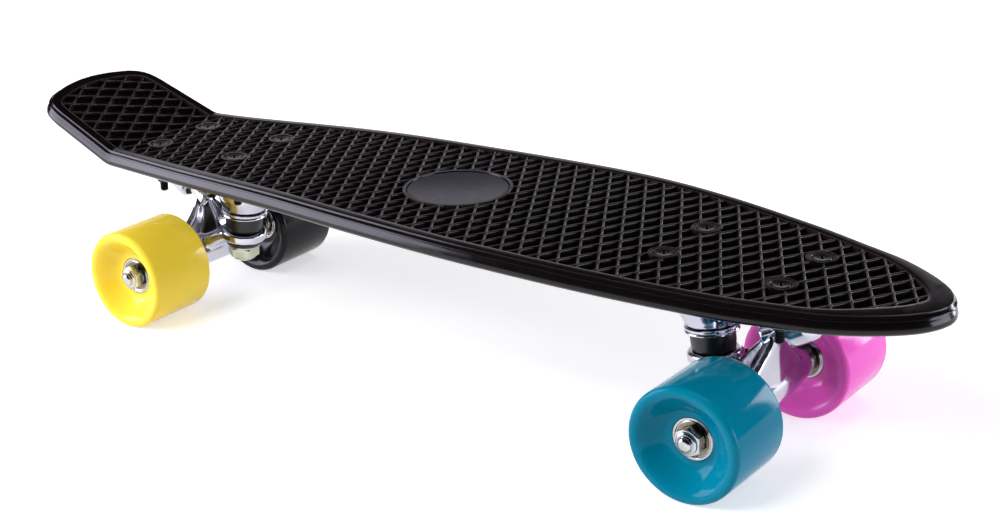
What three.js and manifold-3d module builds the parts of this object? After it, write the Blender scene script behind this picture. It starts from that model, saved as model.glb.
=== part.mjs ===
// Cruiser skateboard: moulded deck with a kicktail, two trucks and four wheels.
// Millimetres. +X points to the nose, +Y to the left side, +Z up. The wheels stand on z = 0.
// The origin is on the ground, under the middle of the deck.
import * as THREE from 'three';
import { mergeVertices } from 'three/addons/utils/BufferGeometryUtils.js';
import Module from 'manifold-3d';

const wasm = await Module();
wasm.setup();

// Clearances
const restGap = 0.3;
const seatGap = 0.1;
const runningGap = 0.3;
const cutOverrun = 2;

// Deck, seen from above
const deckLength = 589.5;
const deckWidth = 147.8;
const crestInset = 1.5;
const rimWidth = 8.5;
const noseRimWidth = 13.5;
const noseRimLength = 60;
const kickLength = 71.4;
const kickDegrees = 23.4;
const kickBendRadius = 25;

// Deck, seen from the side: heights are measured down from its crown
const crownAbovePads = 18.7;
const noseDrop = 6.2;
const noseDropStart = 70;
const noseDropLength = 205;
const tailDrop = 4.7;
const tailDropStart = 50;
const tailDropLength = 185;
const edgeHeight = 12.1;
const edgeRound = 5;
const treadDepth = 1.2;
const treadStep = 0.5;
const shellThickness = 8.6;
const skirtWidth = 9.5;
const edgeArcSteps = 2;
const outlineSteps = 1;

// Waffle tread: two families of ribs that cross in diamonds, every second rib of the real one
const treadPitch = 22.52;
const treadCrossingX = 6;
const treadRibDegrees = 60;
const treadRibWidth = 1.8;
const pocketDepth = 2.8;
const treadMargin = 0.5;
const leastPocketShare = 0.06;

// Half of the deck's crest line, which runs along the rim a little inside the deck's side, tail to
// nose: share of half the length, share of half the width
const outlineShares = [
  [-1, 0], [-0.997, 0.166], [-0.988, 0.332], [-0.975, 0.477], [-0.955, 0.566], [-0.929, 0.602],
  [-0.89, 0.616], [-0.845, 0.628], [-0.806, 0.638], [-0.768, 0.648], [-0.73, 0.661],
  [-0.685, 0.68], [-0.616, 0.714], [-0.514, 0.768], [-0.412, 0.815], [-0.275, 0.869],
  [-0.138, 0.916], [-0.002, 0.956], [0.141, 0.989], [0.249, 1], [0.362, 0.986], [0.465, 0.948],
  [0.55, 0.898], [0.635, 0.833], [0.706, 0.771], [0.77, 0.693], [0.816, 0.637], [0.852, 0.588],
  [0.887, 0.518], [0.925, 0.421], [0.949, 0.347], [0.966, 0.284], [0.979, 0.222], [0.99, 0.147],
  [0.997, 0.073], [1, 0],
];

// Underside of the deck
const padMargin = 1.5;
const padCorner = 9;
const padRoot = 6;
const ribWidth = 4;
const ribSpacing = 26;
const ribDepth = 5;
const ribEndGap = 12;
const ribRoot = 5;

// Badge plate
const badgeDiameter = 58.6;
const badgeThickness = 1.6;
const badgeCentreX = 12.7;
const badgeSink = 0.5;
const badgeEdge = 0.3;
const badgeWall = 1.9;
const badgeSides = 40;

// Trucks: each axle's place from its end of the deck
const noseAxleInset = 94.85;
const tailAxleInset = 112.05;
const truckHeight = 54.7;
const boltInset = 12.8;
const boltSpacingLong = 63.5;
const boltSpacingWide = 41.3;

// Baseplate, in the truck's own frame: +X outward, origin on the axle
const plateEndMargin = 8.75;
const plateSideMargin = 6.35;
const plateThickness = 6;
const plateCorner = 9;
const plateHole = 5.6;
const bossRadius = 13;
const bossFlare = 17;
const bossFlareHeight = 12;
const housingRadius = 10.5;
const housingRound = 3;
const housingLength = 15;
const websWidth = 9;
const websDrop = 14;

// Kingpin stack: the ring's centre from the axle, and the stack along the kingpin
const ringInset = 27;
const ringRise = 12.2;
const kingpinDegrees = 7;
const kingpinDiameter = 10;
const kingpinSeat = 17;
const kingpinTail = 17.8;
const kingpinHeadHeight = 6.4;
const kingpinHeadFlats = 16;
const headPocketGap = 0.6;
const kingpinNutFlats = 17;
const kingpinNutHeight = 8.3;
const kingpinChamfer = 1;
const upperBushingRadius = 11.6;
const lowerBushingRadius = 11.5;
const lowerBushingHeight = 2.6;
const bushingRound = 0.8;
const cupWasherRadius = 13.5;
const cupWasherThickness = 1.7;
const cupWasherRim = 1.6;
const cupWasherWall = 1.3;
const lowerWasherRadius = 10.4;
const lowerWasherThickness = 1.5;

// Hanger
const ringRadius = 14;
const ringHole = 8;
const ringThickness = 6;
const hangerWidth = 84.4;
const tubeRadius = 9.8;
const tubeEndRadius = 10.8;
const tubeEndRound = 1.5;
const shoulderRadius = 5.8;
const shoulderLength = 1;
const mastHalfWidth = 22;
const mastOutset = 6.5;
const mastInset = 16;
const mastHeight = 31;
const mastTopOutset = 9.5;
const neckHalfWidth = 20;
const neckHalfHeight = 8;

// Pivot: the cup's mouth from the axle
const pivotOutset = 13;
const pivotRise = 36.2;
const pivotStubRadius = 5.2;
const pivotStubDepth = 9;
const pivotStubTail = 14;
const cupWall = 2.2;
const cupFloor = 2;

// Axle, wheels and bearings
const axleDiameter = 8;
const axleEndProud = 0.8;
const axleChamfer = 1.2;
const axleNutFlats = 13;
const axleNutHeight = 5;
const axleNutCollar = 1.4;
const axleNutCollarRadius = 5.7;
const wheelDiameter = 59.6;
const wheelWidth = 45;
const wheelLipRound = 2.6;
const wheelLipWidth = 2.2;
const dishMouthInset = 5;
const coreWidth = 24;
const coreBore = 8.5;
const coreLip = 1.4;
const bearingDiameter = 22;
const bearingWidth = 7;
const bearingBore = 8;
const spacerWall = 1.4;

// Mounting bolts and their nuts
const boltDiameter = 5;
const boltLength = 30;
const boltHeadDiameter = 9.6;
const boltHeadHeight = 2.7;
const boltTip = 0.6;
const boltBossRadius = 8.8;
const nutFlats = 8;
const nutHeight = 5;

// Numbers of sides and steps
const wheelSides = 28;
const roundSides = 20;
const smallSides = 16;
const boltSides = 10;
const hexSides = 6;
const lipSteps = 2;

// The dish of a wheel, from the bearing seat out to the mouth: share of radius, share of depth
const dishShares = [[0, 0], [0.3, 0.17], [0.62, 0.5], [0.9, 0.9]];

// The hanger's mast, from the axle up to the pivot stub: share of the height, share of the half
// width, share of the way from the mast's outset to its top's, share of the inset
const mastShares = [
  [0, 1, 0, 0.5], [0.3, 0.86, 0.02, 0.8], [0.48, 0.6, 0.1, 0.7], [0.66, 0.42, 0.3, 0.4],
  [0.84, 0.29, 0.6, 0.1], [1, 0.22, 1, -0.1],
];

// The hanger's neck, from the axle to the ring: share of the way, of the rise, of the half
// width and of the half height
const neckShares = [
  [-0.1, 0, 1, 1], [0.22, 0.32, 0.9, 0.8], [0.44, 0.68, 0.74, 0.57], [0.66, 0.92, 0.64, 0.41],
  [0.9, 1, 0.56, 0.36],
];

// Sizes that follow from the ones above
const axleHeight = wheelDiameter / 2;
const halfLength = deckLength / 2;
const noseAxleX = halfLength - noseAxleInset;
const tailAxleX = tailAxleInset - halfLength;
const axleMidX = (noseAxleX + tailAxleX) / 2;
const axleSpacing = noseAxleX - tailAxleX;
const treadAngle = THREE.MathUtils.degToRad(treadRibDegrees);
const plateLength = boltSpacingLong + 2 * plateEndMargin;
const plateWidth = boltSpacingWide + 2 * plateSideMargin;
const crownHeight = axleHeight + truckHeight + crownAbovePads;
const kickStartX = kickLength - halfLength;
const kickAngle = THREE.MathUtils.degToRad(kickDegrees);
const kickLean = Math.sin(kickAngle);
const kickOverhang = (edgeHeight - edgeRound) * kickLean + edgeRound * (Math.hypot(1, kickLean) - 1);
const kingpinAngle = THREE.MathUtils.degToRad(kingpinDegrees);
const pivotReach = pivotOutset + ringInset;
const pivotClimb = pivotRise - ringRise;
const pivotAngle = Math.atan2(pivotClimb, pivotReach);
const axleRadius = axleDiameter / 2;
const kingpinRadius = kingpinDiameter / 2;
const boltRadius = boltDiameter / 2;
const plateBottom = truckHeight - plateThickness;
const hangerEnd = hangerWidth / 2 + shoulderLength;
const bearingInnerFace = hangerEnd + restGap;
const wheelCentreY = bearingInnerFace + coreWidth / 2;
const bearingOuterFace = bearingInnerFace + coreWidth;
const axleHalfLength = bearingOuterFace + restGap + axleNutHeight + axleNutCollar + axleEndProud;
const cupRadius = pivotStubRadius + runningGap + cupWall;

const materials = {
  deck: new THREE.MeshStandardMaterial({ color: '#0e0b0c', roughness: 0.22, metalness: 0 }),
  badge: new THREE.MeshStandardMaterial({ color: '#47474f', roughness: 0.45, metalness: 0.2 }),
  polished: new THREE.MeshStandardMaterial({ color: '#d9dade', roughness: 0.12, metalness: 1 }),
  zinc: new THREE.MeshStandardMaterial({ color: '#c3c5c8', roughness: 0.25, metalness: 1 }),
  blackened: new THREE.MeshStandardMaterial({ color: '#161617', roughness: 0.4, metalness: 0.7 }),
  bushing: new THREE.MeshStandardMaterial({ color: '#0b0b0c', roughness: 0.4, metalness: 0 }),
  nose_right: new THREE.MeshStandardMaterial({ color: '#0e86a0', roughness: 0.2, metalness: 0 }),
  nose_left: new THREE.MeshStandardMaterial({ color: '#e85cc0', roughness: 0.2, metalness: 0 }),
  tail_right: new THREE.MeshStandardMaterial({ color: '#f2cf2b', roughness: 0.2, metalness: 0 }),
  tail_left: new THREE.MeshStandardMaterial({ color: '#2b2529', roughness: 0.3, metalness: 0 }),
};

const model = new THREE.Group();

function addPiece(parent, name, geometry, material) {
  const piece = new THREE.Mesh(geometry, material);
  piece.name = name;
  parent.add(piece);
  return piece;
}

// Merges shared corners, drops faces without area and turns the faces outward
function closed(geometry) {
  const bare = new THREE.BufferGeometry();
  bare.setAttribute('position', geometry.getAttribute('position'));
  bare.setIndex(geometry.getIndex());
  const merged = mergeVertices(bare);
  const place = merged.getAttribute('position');
  const index = merged.getIndex().array;
  const kept = [];
  const corner = [new THREE.Vector3(), new THREE.Vector3(), new THREE.Vector3()];
  let volume = 0;
  for (let face = 0; face < index.length; face += 3) {
    const [a, b, c] = [index[face], index[face + 1], index[face + 2]];
    if (a === b || b === c || c === a) continue;
    kept.push(a, b, c);
    [a, b, c].forEach((vertex, k) => corner[k].fromBufferAttribute(place, vertex));
    volume += corner[0].dot(corner[1].cross(corner[2]));
  }
  merged.setIndex(volume < 0 ? kept.reverse() : kept);
  return merged;
}

function solidOf(geometry) {
  const shape = closed(geometry);
  return new wasm.Manifold(new wasm.Mesh({
    numProp: 3,
    vertProperties: new Float32Array(shape.getAttribute('position').array),
    triVerts: new Uint32Array(shape.getIndex().array),
  }));
}

function geometryOf(solid) {
  const mesh = solid.getMesh();
  const geometry = new THREE.BufferGeometry();
  geometry.setAttribute('position', new THREE.BufferAttribute(mesh.vertProperties, mesh.numProp));
  geometry.setIndex(new THREE.BufferAttribute(mesh.triVerts, 1));
  return geometry;
}

function closedFrom(position, index) {
  const geometry = new THREE.BufferGeometry();
  geometry.setAttribute('position', new THREE.Float32BufferAttribute(position, 3));
  geometry.setIndex(index);
  return closed(geometry);
}

function join(geometries) {
  return geometries.map(solidOf).reduce((whole, part) => whole.add(part));
}

function cut(whole, geometries) {
  return geometries.map(solidOf).reduce((rest, tool) => rest.subtract(tool), whole);
}

// Turned piece about Z; the profile holds [radius, height] points
function turned(profile, sides, phase = 0) {
  const points = profile.map(([radius, height]) => new THREE.Vector2(radius, height));
  const geometry = new THREE.LatheGeometry(points, sides, phase);
  return closed(geometry.rotateX(Math.PI / 2));
}

// Tube about Z between two heights
function tube(inner, outer, low, high, sides) {
  return turned([[inner, low], [outer, low], [outer, high], [inner, high], [inner, low]], sides);
}

// Rod about Z between two heights
function rod(radius, low, high, sides) {
  return turned([[0, low], [radius, low], [radius, high], [0, high]], sides);
}

// Six-sided prism about Z between two heights, by its width across flats
function hexagon(flats, low, high) {
  return rod(flats / 2 / Math.cos(Math.PI / hexSides), low, high, hexSides);
}

// Turns a piece made about Z so that it lies along Y
function alongY(geometry) {
  return geometry.rotateX(-Math.PI / 2);
}

// Rectangle with round corners, extruded up from a height
function roundedSlab(length, width, corner, low, height) {
  const x = length / 2 - corner;
  const y = width / 2 - corner;
  const outline = new THREE.Shape();
  outline.absarc(x, y, corner, 0, Math.PI / 2);
  outline.absarc(-x, y, corner, Math.PI / 2, Math.PI);
  outline.absarc(-x, -y, corner, Math.PI, Math.PI * 3 / 2);
  outline.absarc(x, -y, corner, Math.PI * 3 / 2, Math.PI * 2);
  const slab = new THREE.ExtrudeGeometry(outline, { depth: height, bevelEnabled: false, curveSegments: 5 });
  return slab.translate(0, 0, low);
}

// Closed body through loops of the same number of points, capped with a fan at each end
function lofted(loops) {
  const count = loops[0].length;
  const position = loops.flat().flatMap((point) => point.toArray());
  const index = [];
  for (let row = 0; row + 1 < loops.length; row += 1) {
    for (let k = 0; k < count; k += 1) {
      const next = (k + 1) % count;
      const [a, b] = [row * count + k, row * count + next];
      index.push(a, b, b + count, a, b + count, a + count);
    }
  }
  const last = (loops.length - 1) * count;
  for (let k = 1; k + 1 < count; k += 1) {
    index.push(0, k + 1, k, last, last + k, last + k + 1);
  }
  return closedFrom(position, index);
}

// Smooth drop from 0 to 1 with a level start and end
function easedShare(distance, length) {
  const way = THREE.MathUtils.clamp(distance / length, 0, 1);
  return (1 - Math.cos(Math.PI * way)) / 2;
}

// Height of the rim's top along the deck
function deckTop(x) {
  const flatX = Math.max(x, kickStartX);
  const drop = noseDrop * easedShare(flatX - noseDropStart, noseDropLength)
    + tailDrop * easedShare(-tailDropStart - flatX, tailDropLength);
  const past = flatX - x;
  const bendReach = kickBendRadius * Math.sin(kickAngle);
  const onBend = Math.min(past, bendReach);
  const bendRise = kickBendRadius - Math.sqrt(kickBendRadius ** 2 - onBend ** 2);
  return crownHeight - drop + bendRise + (past - onBend) * Math.tan(kickAngle);
}

// A point of the deck, given by its place in plan and its depth square to the top
function deckPoint(x, y, depth) {
  const step = deckLength / 2 ** 12;
  const slope = (deckTop(x + step) - deckTop(x - step)) / (2 * step);
  const steepness = Math.hypot(1, slope);
  return new THREE.Vector3(x + depth * slope / steepness, y, deckTop(x) - depth / steepness);
}

// The crest line in plan: from the tail along the right side to the nose and back on the left
function crestOutline() {
  const noseReach = halfLength - crestInset;
  const tailReach = noseReach - kickOverhang;
  const half = outlineShares.map(([alongShare, acrossShare]) => {
    const reach = alongShare < 0 ? tailReach : noseReach;
    return new THREE.Vector3(alongShare * reach, -acrossShare * (deckWidth / 2 - crestInset), 0);
  });
  const back = half.slice(1, -1).reverse().map((point) => new THREE.Vector3(point.x, -point.y, 0));
  const curve = new THREE.CatmullRomCurve3([...half, ...back], true, 'centripetal');
  const points = curve.getPoints((half.length + back.length) * outlineSteps);
  points.pop();
  return points;
}

// Moves an outline inward, by a distance that may differ from point to point
function insetOutline(outline, insetAt) {
  return outline.map((point, k) => {
    const before = outline[(k + outline.length - 1) % outline.length];
    const after = outline[(k + 1) % outline.length];
    const inward = new THREE.Vector3(before.y - after.y, after.x - before.x, 0).normalize();
    return point.clone().addScaledVector(inward, insetAt(point));
  });
}

// Rim width, which grows towards the nose
function rimAt(point) {
  const growth = easedShare(point.x - halfLength + noseRimLength, noseRimLength);
  return rimWidth + (noseRimWidth - rimWidth) * growth;
}

// A closed body from a stack of outlines of the deck; a level gives its inset and its depth
function stackedBody(levels) {
  const outline = crestOutline();
  const count = outline.length;
  const position = [];
  levels.forEach(({ inset, depth }) => {
    insetOutline(outline, (point) => inset(point) - crestInset).forEach((point) => {
      position.push(...deckPoint(point.x, point.y, depth).toArray());
    });
  });
  const index = [];
  for (let row = 0; row + 1 < levels.length; row += 1) {
    for (let k = 0; k < count; k += 1) {
      const [a, b] = [row * count + k, row * count + (k + 1) % count];
      index.push(a, a + count, b + count, a, b + count, b);
    }
  }
  const bottom = (levels.length - 1) * count;
  for (let k = 0; k < count / 2; k += 1) {
    const [mirrorA, mirrorB] = [(count - k) % count, count - k - 1];
    index.push(k, k + 1, mirrorB, k, mirrorB, mirrorA);
    index.push(bottom + k, bottom + mirrorB, bottom + k + 1, bottom + k, bottom + mirrorA, bottom + mirrorB);
  }
  return closedFrom(position, index);
}

// The moulded body, from the tread over the rim to the underside
function deckBody() {
  const levels = [
    { inset: (point) => rimAt(point), depth: treadDepth },
    { inset: (point) => rimAt(point) - treadStep, depth: 0 },
  ];
  for (const lower of [false, true]) {
    for (let step = 0; step <= edgeArcSteps; step += 1) {
      const turn = Math.PI / 2 * (lower ? 1 + step / edgeArcSteps : step / edgeArcSteps);
      const centreDepth = lower ? edgeHeight - edgeRound : edgeRound;
      levels.push({
        inset: () => edgeRound * (1 - Math.sin(turn)),
        depth: centreDepth - edgeRound * Math.cos(turn),
      });
    }
  }
  levels.push({ inset: () => skirtWidth - treadStep, depth: edgeHeight });
  levels.push({ inset: () => skirtWidth, depth: shellThickness });
  return stackedBody(levels);
}

// Diamond pockets between the ribs all over the deck, before the rim, bosses and badge limit them
function pocketField() {
  const halfLong = treadPitch / 2;
  const halfWide = halfLong * Math.tan(treadAngle);
  const openShare = 1 - treadRibWidth / 2 / (halfLong * Math.sin(treadAngle));
  const columns = Math.ceil(halfLength / halfLong);
  const rows = Math.ceil(deckWidth / 2 / halfWide);
  const position = [];
  const index = [];
  for (let column = -columns; column <= columns; column += 1) {
    for (let row = -rows; row <= rows; row += 1) {
      if ((column + row) % 2 === 0) continue;
      const first = position.length / 3;
      for (const depth of [-cutOverrun, treadDepth + pocketDepth]) {
        for (const [alongSign, acrossSign] of [[1, 0], [0, 1], [-1, 0], [0, -1]]) {
          const x = treadCrossingX + (column + alongSign * openShare) * halfLong;
          const y = (row + acrossSign * openShare) * halfWide;
          position.push(...deckPoint(x, y, depth).toArray());
        }
      }
      const corners = [0, 1, 2, 0, 2, 3, 4, 6, 5, 4, 7, 6];
      for (let k = 0; k < 4; k += 1) {
        const next = (k + 1) % 4;
        corners.push(k, k + 4, next + 4, k, next + 4, next);
      }
      index.push(...corners.map((corner) => first + corner));
    }
  }
  return closedFrom(position, index);
}

// The pockets that the tread has: inside the rim, clear of the bolt bosses and the badge
function treadPockets(places) {
  const inset = (point) => rimAt(point) + treadMargin;
  const inside = stackedBody([{ inset, depth: -2 * cutOverrun }, { inset, depth: edgeHeight }]);
  const badgeIsland = rod(badgeDiameter / 2 + badgeWall, -edgeHeight, edgeHeight, roundSides)
    .translate(badgeCentreX, 0, badgeTop());
  const bossIslands = places.map(({ x, y, top }) => (
    rod(boltBossRadius, -edgeHeight, edgeHeight, smallSides).translate(x, y, top)));
  const field = solidOf(pocketField());
  const pockets = cut(field.intersect(solidOf(inside)), [badgeIsland, ...bossIslands]).decompose();
  const largest = Math.max(...pockets.map((pocket) => pocket.volume()));
  return wasm.Manifold.compose(pockets.filter((pocket) => pocket.volume() > leastPocketShare * largest));
}

// The two trucks: name, place of the axle, and turn about Z
const trucks = [
  { end: 'nose', axleX: noseAxleX, turn: 0 },
  { end: 'tail', axleX: tailAxleX, turn: Math.PI },
].map((truck) => ({ ...truck, outward: Math.cos(truck.turn) }));

// Places of one truck's mounting bolts, in the part's frame
function boltPlaces({ axleX, outward }) {
  const centreX = axleX - outward * boltInset;
  const places = [];
  for (const alongSign of [1, -1]) {
    for (const acrossSign of [-1, 1]) {
      const x = centreX + outward * alongSign * boltSpacingLong / 2;
      const y = outward * acrossSign * boltSpacingWide / 2;
      places.push({ x, y, top: deckTop(x) - treadDepth });
    }
  }
  return places;
}

// Pads under the deck that the trucks' baseplates sit on
function truckPad({ axleX, outward }) {
  const bottom = axleHeight + truckHeight;
  const height = crownAbovePads - noseDrop - padRoot / 2;
  const [length, width] = [plateLength + 2 * padMargin, plateWidth + 2 * padMargin];
  return roundedSlab(length, width, padCorner, bottom, height)
    .translate(axleX - outward * boltInset, 0, 0);
}

// Stiffening ribs along the underside, between the pads
function undersideRib(acrossSign) {
  const reach = axleSpacing / 2 - boltInset - plateLength / 2 - padMargin - ribEndGap;
  const low = crownHeight - shellThickness - ribDepth;
  const rib = new THREE.BoxGeometry(2 * reach, ribWidth, ribDepth + ribRoot);
  return rib.translate(axleMidX, acrossSign * ribSpacing, low + (ribDepth + ribRoot) / 2);
}

// Countersunk hole for one mounting bolt
function boltHole({ x, y, top }) {
  const shank = boltRadius + restGap;
  const head = boltHeadDiameter / 2 + restGap;
  const seat = -boltHeadHeight - restGap;
  const hole = turned([
    [0, cutOverrun], [head, cutOverrun], [head, -boltTip], [shank, seat],
    [shank, -boltLength], [0, -boltLength],
  ], boltSides);
  return hole.translate(x, y, top);
}

function boltBoss({ x, y, top }) {
  return rod(boltBossRadius, -edgeHeight / 2, treadDepth / 2, roundSides).translate(x, y, top);
}

function badgeTop() {
  return deckTop(badgeCentreX) - treadDepth - badgeSink;
}

function badgePlate() {
  const radius = badgeDiameter / 2 - restGap;
  return turned([
    [0, -badgeThickness], [radius, -badgeThickness], [radius, -badgeEdge], [radius - badgeEdge, 0], [0, 0],
  ], badgeSides).translate(badgeCentreX, 0, badgeTop());
}

function deck() {
  const places = trucks.flatMap(boltPlaces);
  const body = join([
    deckBody(),
    ...trucks.map(truckPad),
    ...[-1, 0, 1].map(undersideRib),
    ...places.map(boltBoss),
  ]);
  const badgeSeat = rod(badgeDiameter / 2, -badgeThickness - restGap, cutOverrun, badgeSides)
    .translate(badgeCentreX, 0, badgeTop());
  return geometryOf(cut(body, [badgeSeat, ...places.map(boltHole)]).subtract(treadPockets(places)));
}

function mountingBolt() {
  const head = boltHeadDiameter / 2;
  return turned([
    [0, -boltLength], [boltRadius - boltTip, -boltLength], [boltRadius, boltTip - boltLength],
    [boltRadius, -boltHeadHeight], [head, -boltTip], [head, 0], [0, 0],
  ], boltSides);
}

function mountingNut() {
  const body = join([hexagon(nutFlats, -nutHeight, 0)]);
  return geometryOf(cut(body, [rod(boltRadius + restGap, -nutHeight - cutOverrun, cutOverrun, boltSides)]));
}

function addMountingBolts(truck) {
  boltPlaces(truck).forEach((place, k) => {
    const bolt = addPiece(model, `${truck.end}_bolt_${k + 1}`, mountingBolt(), materials.blackened);
    bolt.position.set(place.x, place.y, place.top);
    const nut = addPiece(model, `${truck.end}_nut_${k + 1}`, mountingNut(), materials.blackened);
    nut.position.set(place.x, place.y, axleHeight + plateBottom);
  });
}

// Frames inside a truck: Z runs up the kingpin from the ring's centre, or into the pivot cup
function stackMatrix() {
  const turn = new THREE.Matrix4().makeRotationY(-kingpinAngle);
  return turn.setPosition(-ringInset, 0, ringRise);
}

function pivotMatrix() {
  const turn = new THREE.Matrix4().makeRotationY(Math.PI / 2 - pivotAngle);
  return turn.setPosition(pivotOutset, 0, pivotRise);
}

function inStack(geometry) {
  return geometry.applyMatrix4(stackMatrix());
}

function inPivot(geometry) {
  return geometry.applyMatrix4(pivotMatrix());
}

// Height along the kingpin at which it meets a level of the truck
function alongKingpin(level) {
  return (level - ringRise) / Math.cos(kingpinAngle);
}

function kingpinHeadSeat() {
  return alongKingpin(truckHeight) - kingpinHeadHeight - kingpinChamfer;
}

// Flat web under the plate, from the boss to the housing
function baseplateWeb() {
  const outline = new THREE.Shape();
  outline.moveTo(-ringInset, truckHeight - plateThickness / 2);
  outline.lineTo(-ringInset, plateBottom - websDrop / 2);
  outline.lineTo(0, plateBottom - websDrop / 3);
  outline.lineTo(pivotOutset, plateBottom - websDrop / 3);
  outline.lineTo(pivotOutset + housingLength / 2, truckHeight - plateThickness / 2);
  const web = new THREE.ExtrudeGeometry(outline, { depth: websWidth, bevelEnabled: false });
  return web.rotateX(Math.PI / 2).translate(0, websWidth / 2, 0);
}

// Cast base: bolted plate, kingpin boss, pivot housing and the web between them
function baseplate() {
  const plate = roundedSlab(plateLength, plateWidth, plateCorner, plateBottom, plateThickness)
    .translate(-boltInset, 0, 0);
  const bossTop = alongKingpin(truckHeight - plateThickness / 2);
  const boss = inStack(turned([
    [0, kingpinSeat], [bossRadius, kingpinSeat], [bossRadius, bossTop - bossFlareHeight],
    [bossFlare, bossTop], [0, bossTop],
  ], roundSides));
  const housing = inPivot(turned([
    [0, 0], [housingRadius - housingRound, 0], [housingRadius, housingRound],
    [housingRadius, housingLength - housingRound], [housingRadius - housingRound, housingLength],
    [0, housingLength],
  ], roundSides));
  const body = join([plate, boss, housing, baseplateWeb()]);
  const headGap = kingpinHeadFlats / 2 / Math.cos(Math.PI / hexSides) + headPocketGap;
  const tools = [
    inStack(rod(kingpinRadius + restGap, kingpinSeat - cutOverrun, bossTop, smallSides)),
    inStack(rod(headGap, kingpinHeadSeat() - restGap, bossTop + plateThickness, roundSides)),
    inPivot(rod(cupRadius + seatGap, -cutOverrun, cupDepth() + restGap, roundSides)),
  ];
  for (const alongSign of [1, -1]) {
    for (const acrossSign of [1, -1]) {
      tools.push(rod(plateHole / 2, plateBottom - cutOverrun, truckHeight + cutOverrun, boltSides)
        .translate(alongSign * boltSpacingLong / 2 - boltInset, acrossSign * boltSpacingWide / 2, 0));
    }
  }
  return geometryOf(cut(body, tools));
}

function cupDepth() {
  return pivotStubDepth + restGap + cupFloor;
}

function pivotCup() {
  const bore = pivotStubRadius + runningGap;
  const depth = cupDepth();
  return inPivot(turned([
    [bore, 0], [cupRadius, 0], [cupRadius, depth], [0, depth],
    [0, depth - cupFloor], [bore, depth - cupFloor], [bore, 0],
  ], roundSides));
}

function kingpin() {
  const seat = kingpinHeadSeat();
  const head = hexagon(kingpinHeadFlats, seat, seat + kingpinHeadHeight);
  const shank = turned([
    [0, -kingpinTail], [kingpinRadius - kingpinChamfer, -kingpinTail],
    [kingpinRadius, kingpinChamfer - kingpinTail], [kingpinRadius, seat + kingpinChamfer],
    [0, seat + kingpinChamfer],
  ], smallSides);
  return inStack(geometryOf(join([head, shank])));
}

// Lower end of the stack, down from the ring: bushing, washer, nut
function lowerStack() {
  const bushingTop = -ringThickness / 2 - restGap;
  const washerTop = bushingTop - lowerBushingHeight - restGap;
  const nutTop = washerTop - lowerWasherThickness - restGap;
  return { bushingTop, washerTop, nutTop };
}

function kingpinNut() {
  const { nutTop } = lowerStack();
  const nutBottom = nutTop - kingpinNutHeight;
  const body = join([hexagon(kingpinNutFlats, nutBottom, nutTop)]);
  const bore = rod(kingpinRadius + restGap, nutBottom - cutOverrun, nutTop + cutOverrun, smallSides);
  return inStack(geometryOf(cut(body, [bore])));
}

function cupWasher() {
  const top = kingpinSeat - restGap;
  const bottom = top - cupWasherThickness;
  const bore = kingpinRadius + restGap;
  const rimInner = cupWasherRadius - cupWasherWall;
  return inStack(turned([
    [bore, bottom], [rimInner, bottom], [rimInner, bottom - cupWasherRim],
    [cupWasherRadius, bottom - cupWasherRim], [cupWasherRadius, top], [bore, top], [bore, bottom],
  ], roundSides));
}

function lowerWasher() {
  const { washerTop } = lowerStack();
  const bore = kingpinRadius + restGap;
  return inStack(tube(bore, lowerWasherRadius, washerTop - lowerWasherThickness, washerTop, roundSides));
}

function bushing(radius, low, high) {
  const bore = kingpinRadius + restGap;
  return inStack(turned([
    [bore, low], [radius - bushingRound, low], [radius, low + bushingRound], [radius, high - bushingRound],
    [radius - bushingRound, high], [bore, high], [bore, low],
  ], roundSides));
}

function upperBushing() {
  const top = kingpinSeat - restGap - cupWasherThickness - restGap;
  return bushing(upperBushingRadius, ringThickness / 2 + restGap, top);
}

function lowerBushing() {
  const { bushingTop } = lowerStack();
  return bushing(lowerBushingRadius, bushingTop - lowerBushingHeight, bushingTop);
}

// The hanger's mast: three-cornered sections that narrow upward, ridges on both sides
function hangerMast() {
  return lofted(mastShares.map(([heightShare, widthShare, outShare, insetShare]) => {
    const z = heightShare * mastHeight;
    const y = widthShare * mastHalfWidth;
    const ridgeX = mastOutset + outShare * (mastTopOutset - mastOutset);
    const innerX = -insetShare * mastInset;
    const midX = (ridgeX + innerX) / 2;
    return [
      new THREE.Vector3(ridgeX, -y, z),
      new THREE.Vector3(ridgeX + y / 4, 0, z),
      new THREE.Vector3(ridgeX, y, z),
      new THREE.Vector3(midX, y / 2, z),
      new THREE.Vector3(innerX, y / 4, z),
      new THREE.Vector3(innerX, -y / 4, z),
      new THREE.Vector3(midX, -y / 2, z),
    ];
  }));
}

// The neck between the axle tube and the ring
function hangerNeck() {
  return lofted(neckShares.map(([wayShare, riseShare, widthShare, heightShare]) => {
    const x = -wayShare * ringInset;
    const z = riseShare * ringRise;
    const y = widthShare * neckHalfWidth;
    const h = heightShare * neckHalfHeight;
    return [
      new THREE.Vector3(x, -y, z + h / 2), new THREE.Vector3(x, -y + h / 2, z + h),
      new THREE.Vector3(x, y - h / 2, z + h), new THREE.Vector3(x, y, z + h / 2),
      new THREE.Vector3(x, y, z - h / 2), new THREE.Vector3(x, y - h / 2, z - h),
      new THREE.Vector3(x, -y + h / 2, z - h), new THREE.Vector3(x, -y, z - h / 2),
    ];
  }));
}

function hangerTube() {
  const half = hangerWidth / 2;
  return alongY(turned([
    [0, -hangerEnd], [shoulderRadius, -hangerEnd], [shoulderRadius, -half],
    [tubeEndRadius - tubeEndRound, -half], [tubeEndRadius, tubeEndRound - half],
    [tubeRadius, -mastHalfWidth], [tubeRadius, mastHalfWidth],
    [tubeEndRadius, half - tubeEndRound], [tubeEndRadius - tubeEndRound, half],
    [shoulderRadius, half], [shoulderRadius, hangerEnd], [0, hangerEnd],
  ], roundSides));
}

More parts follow.
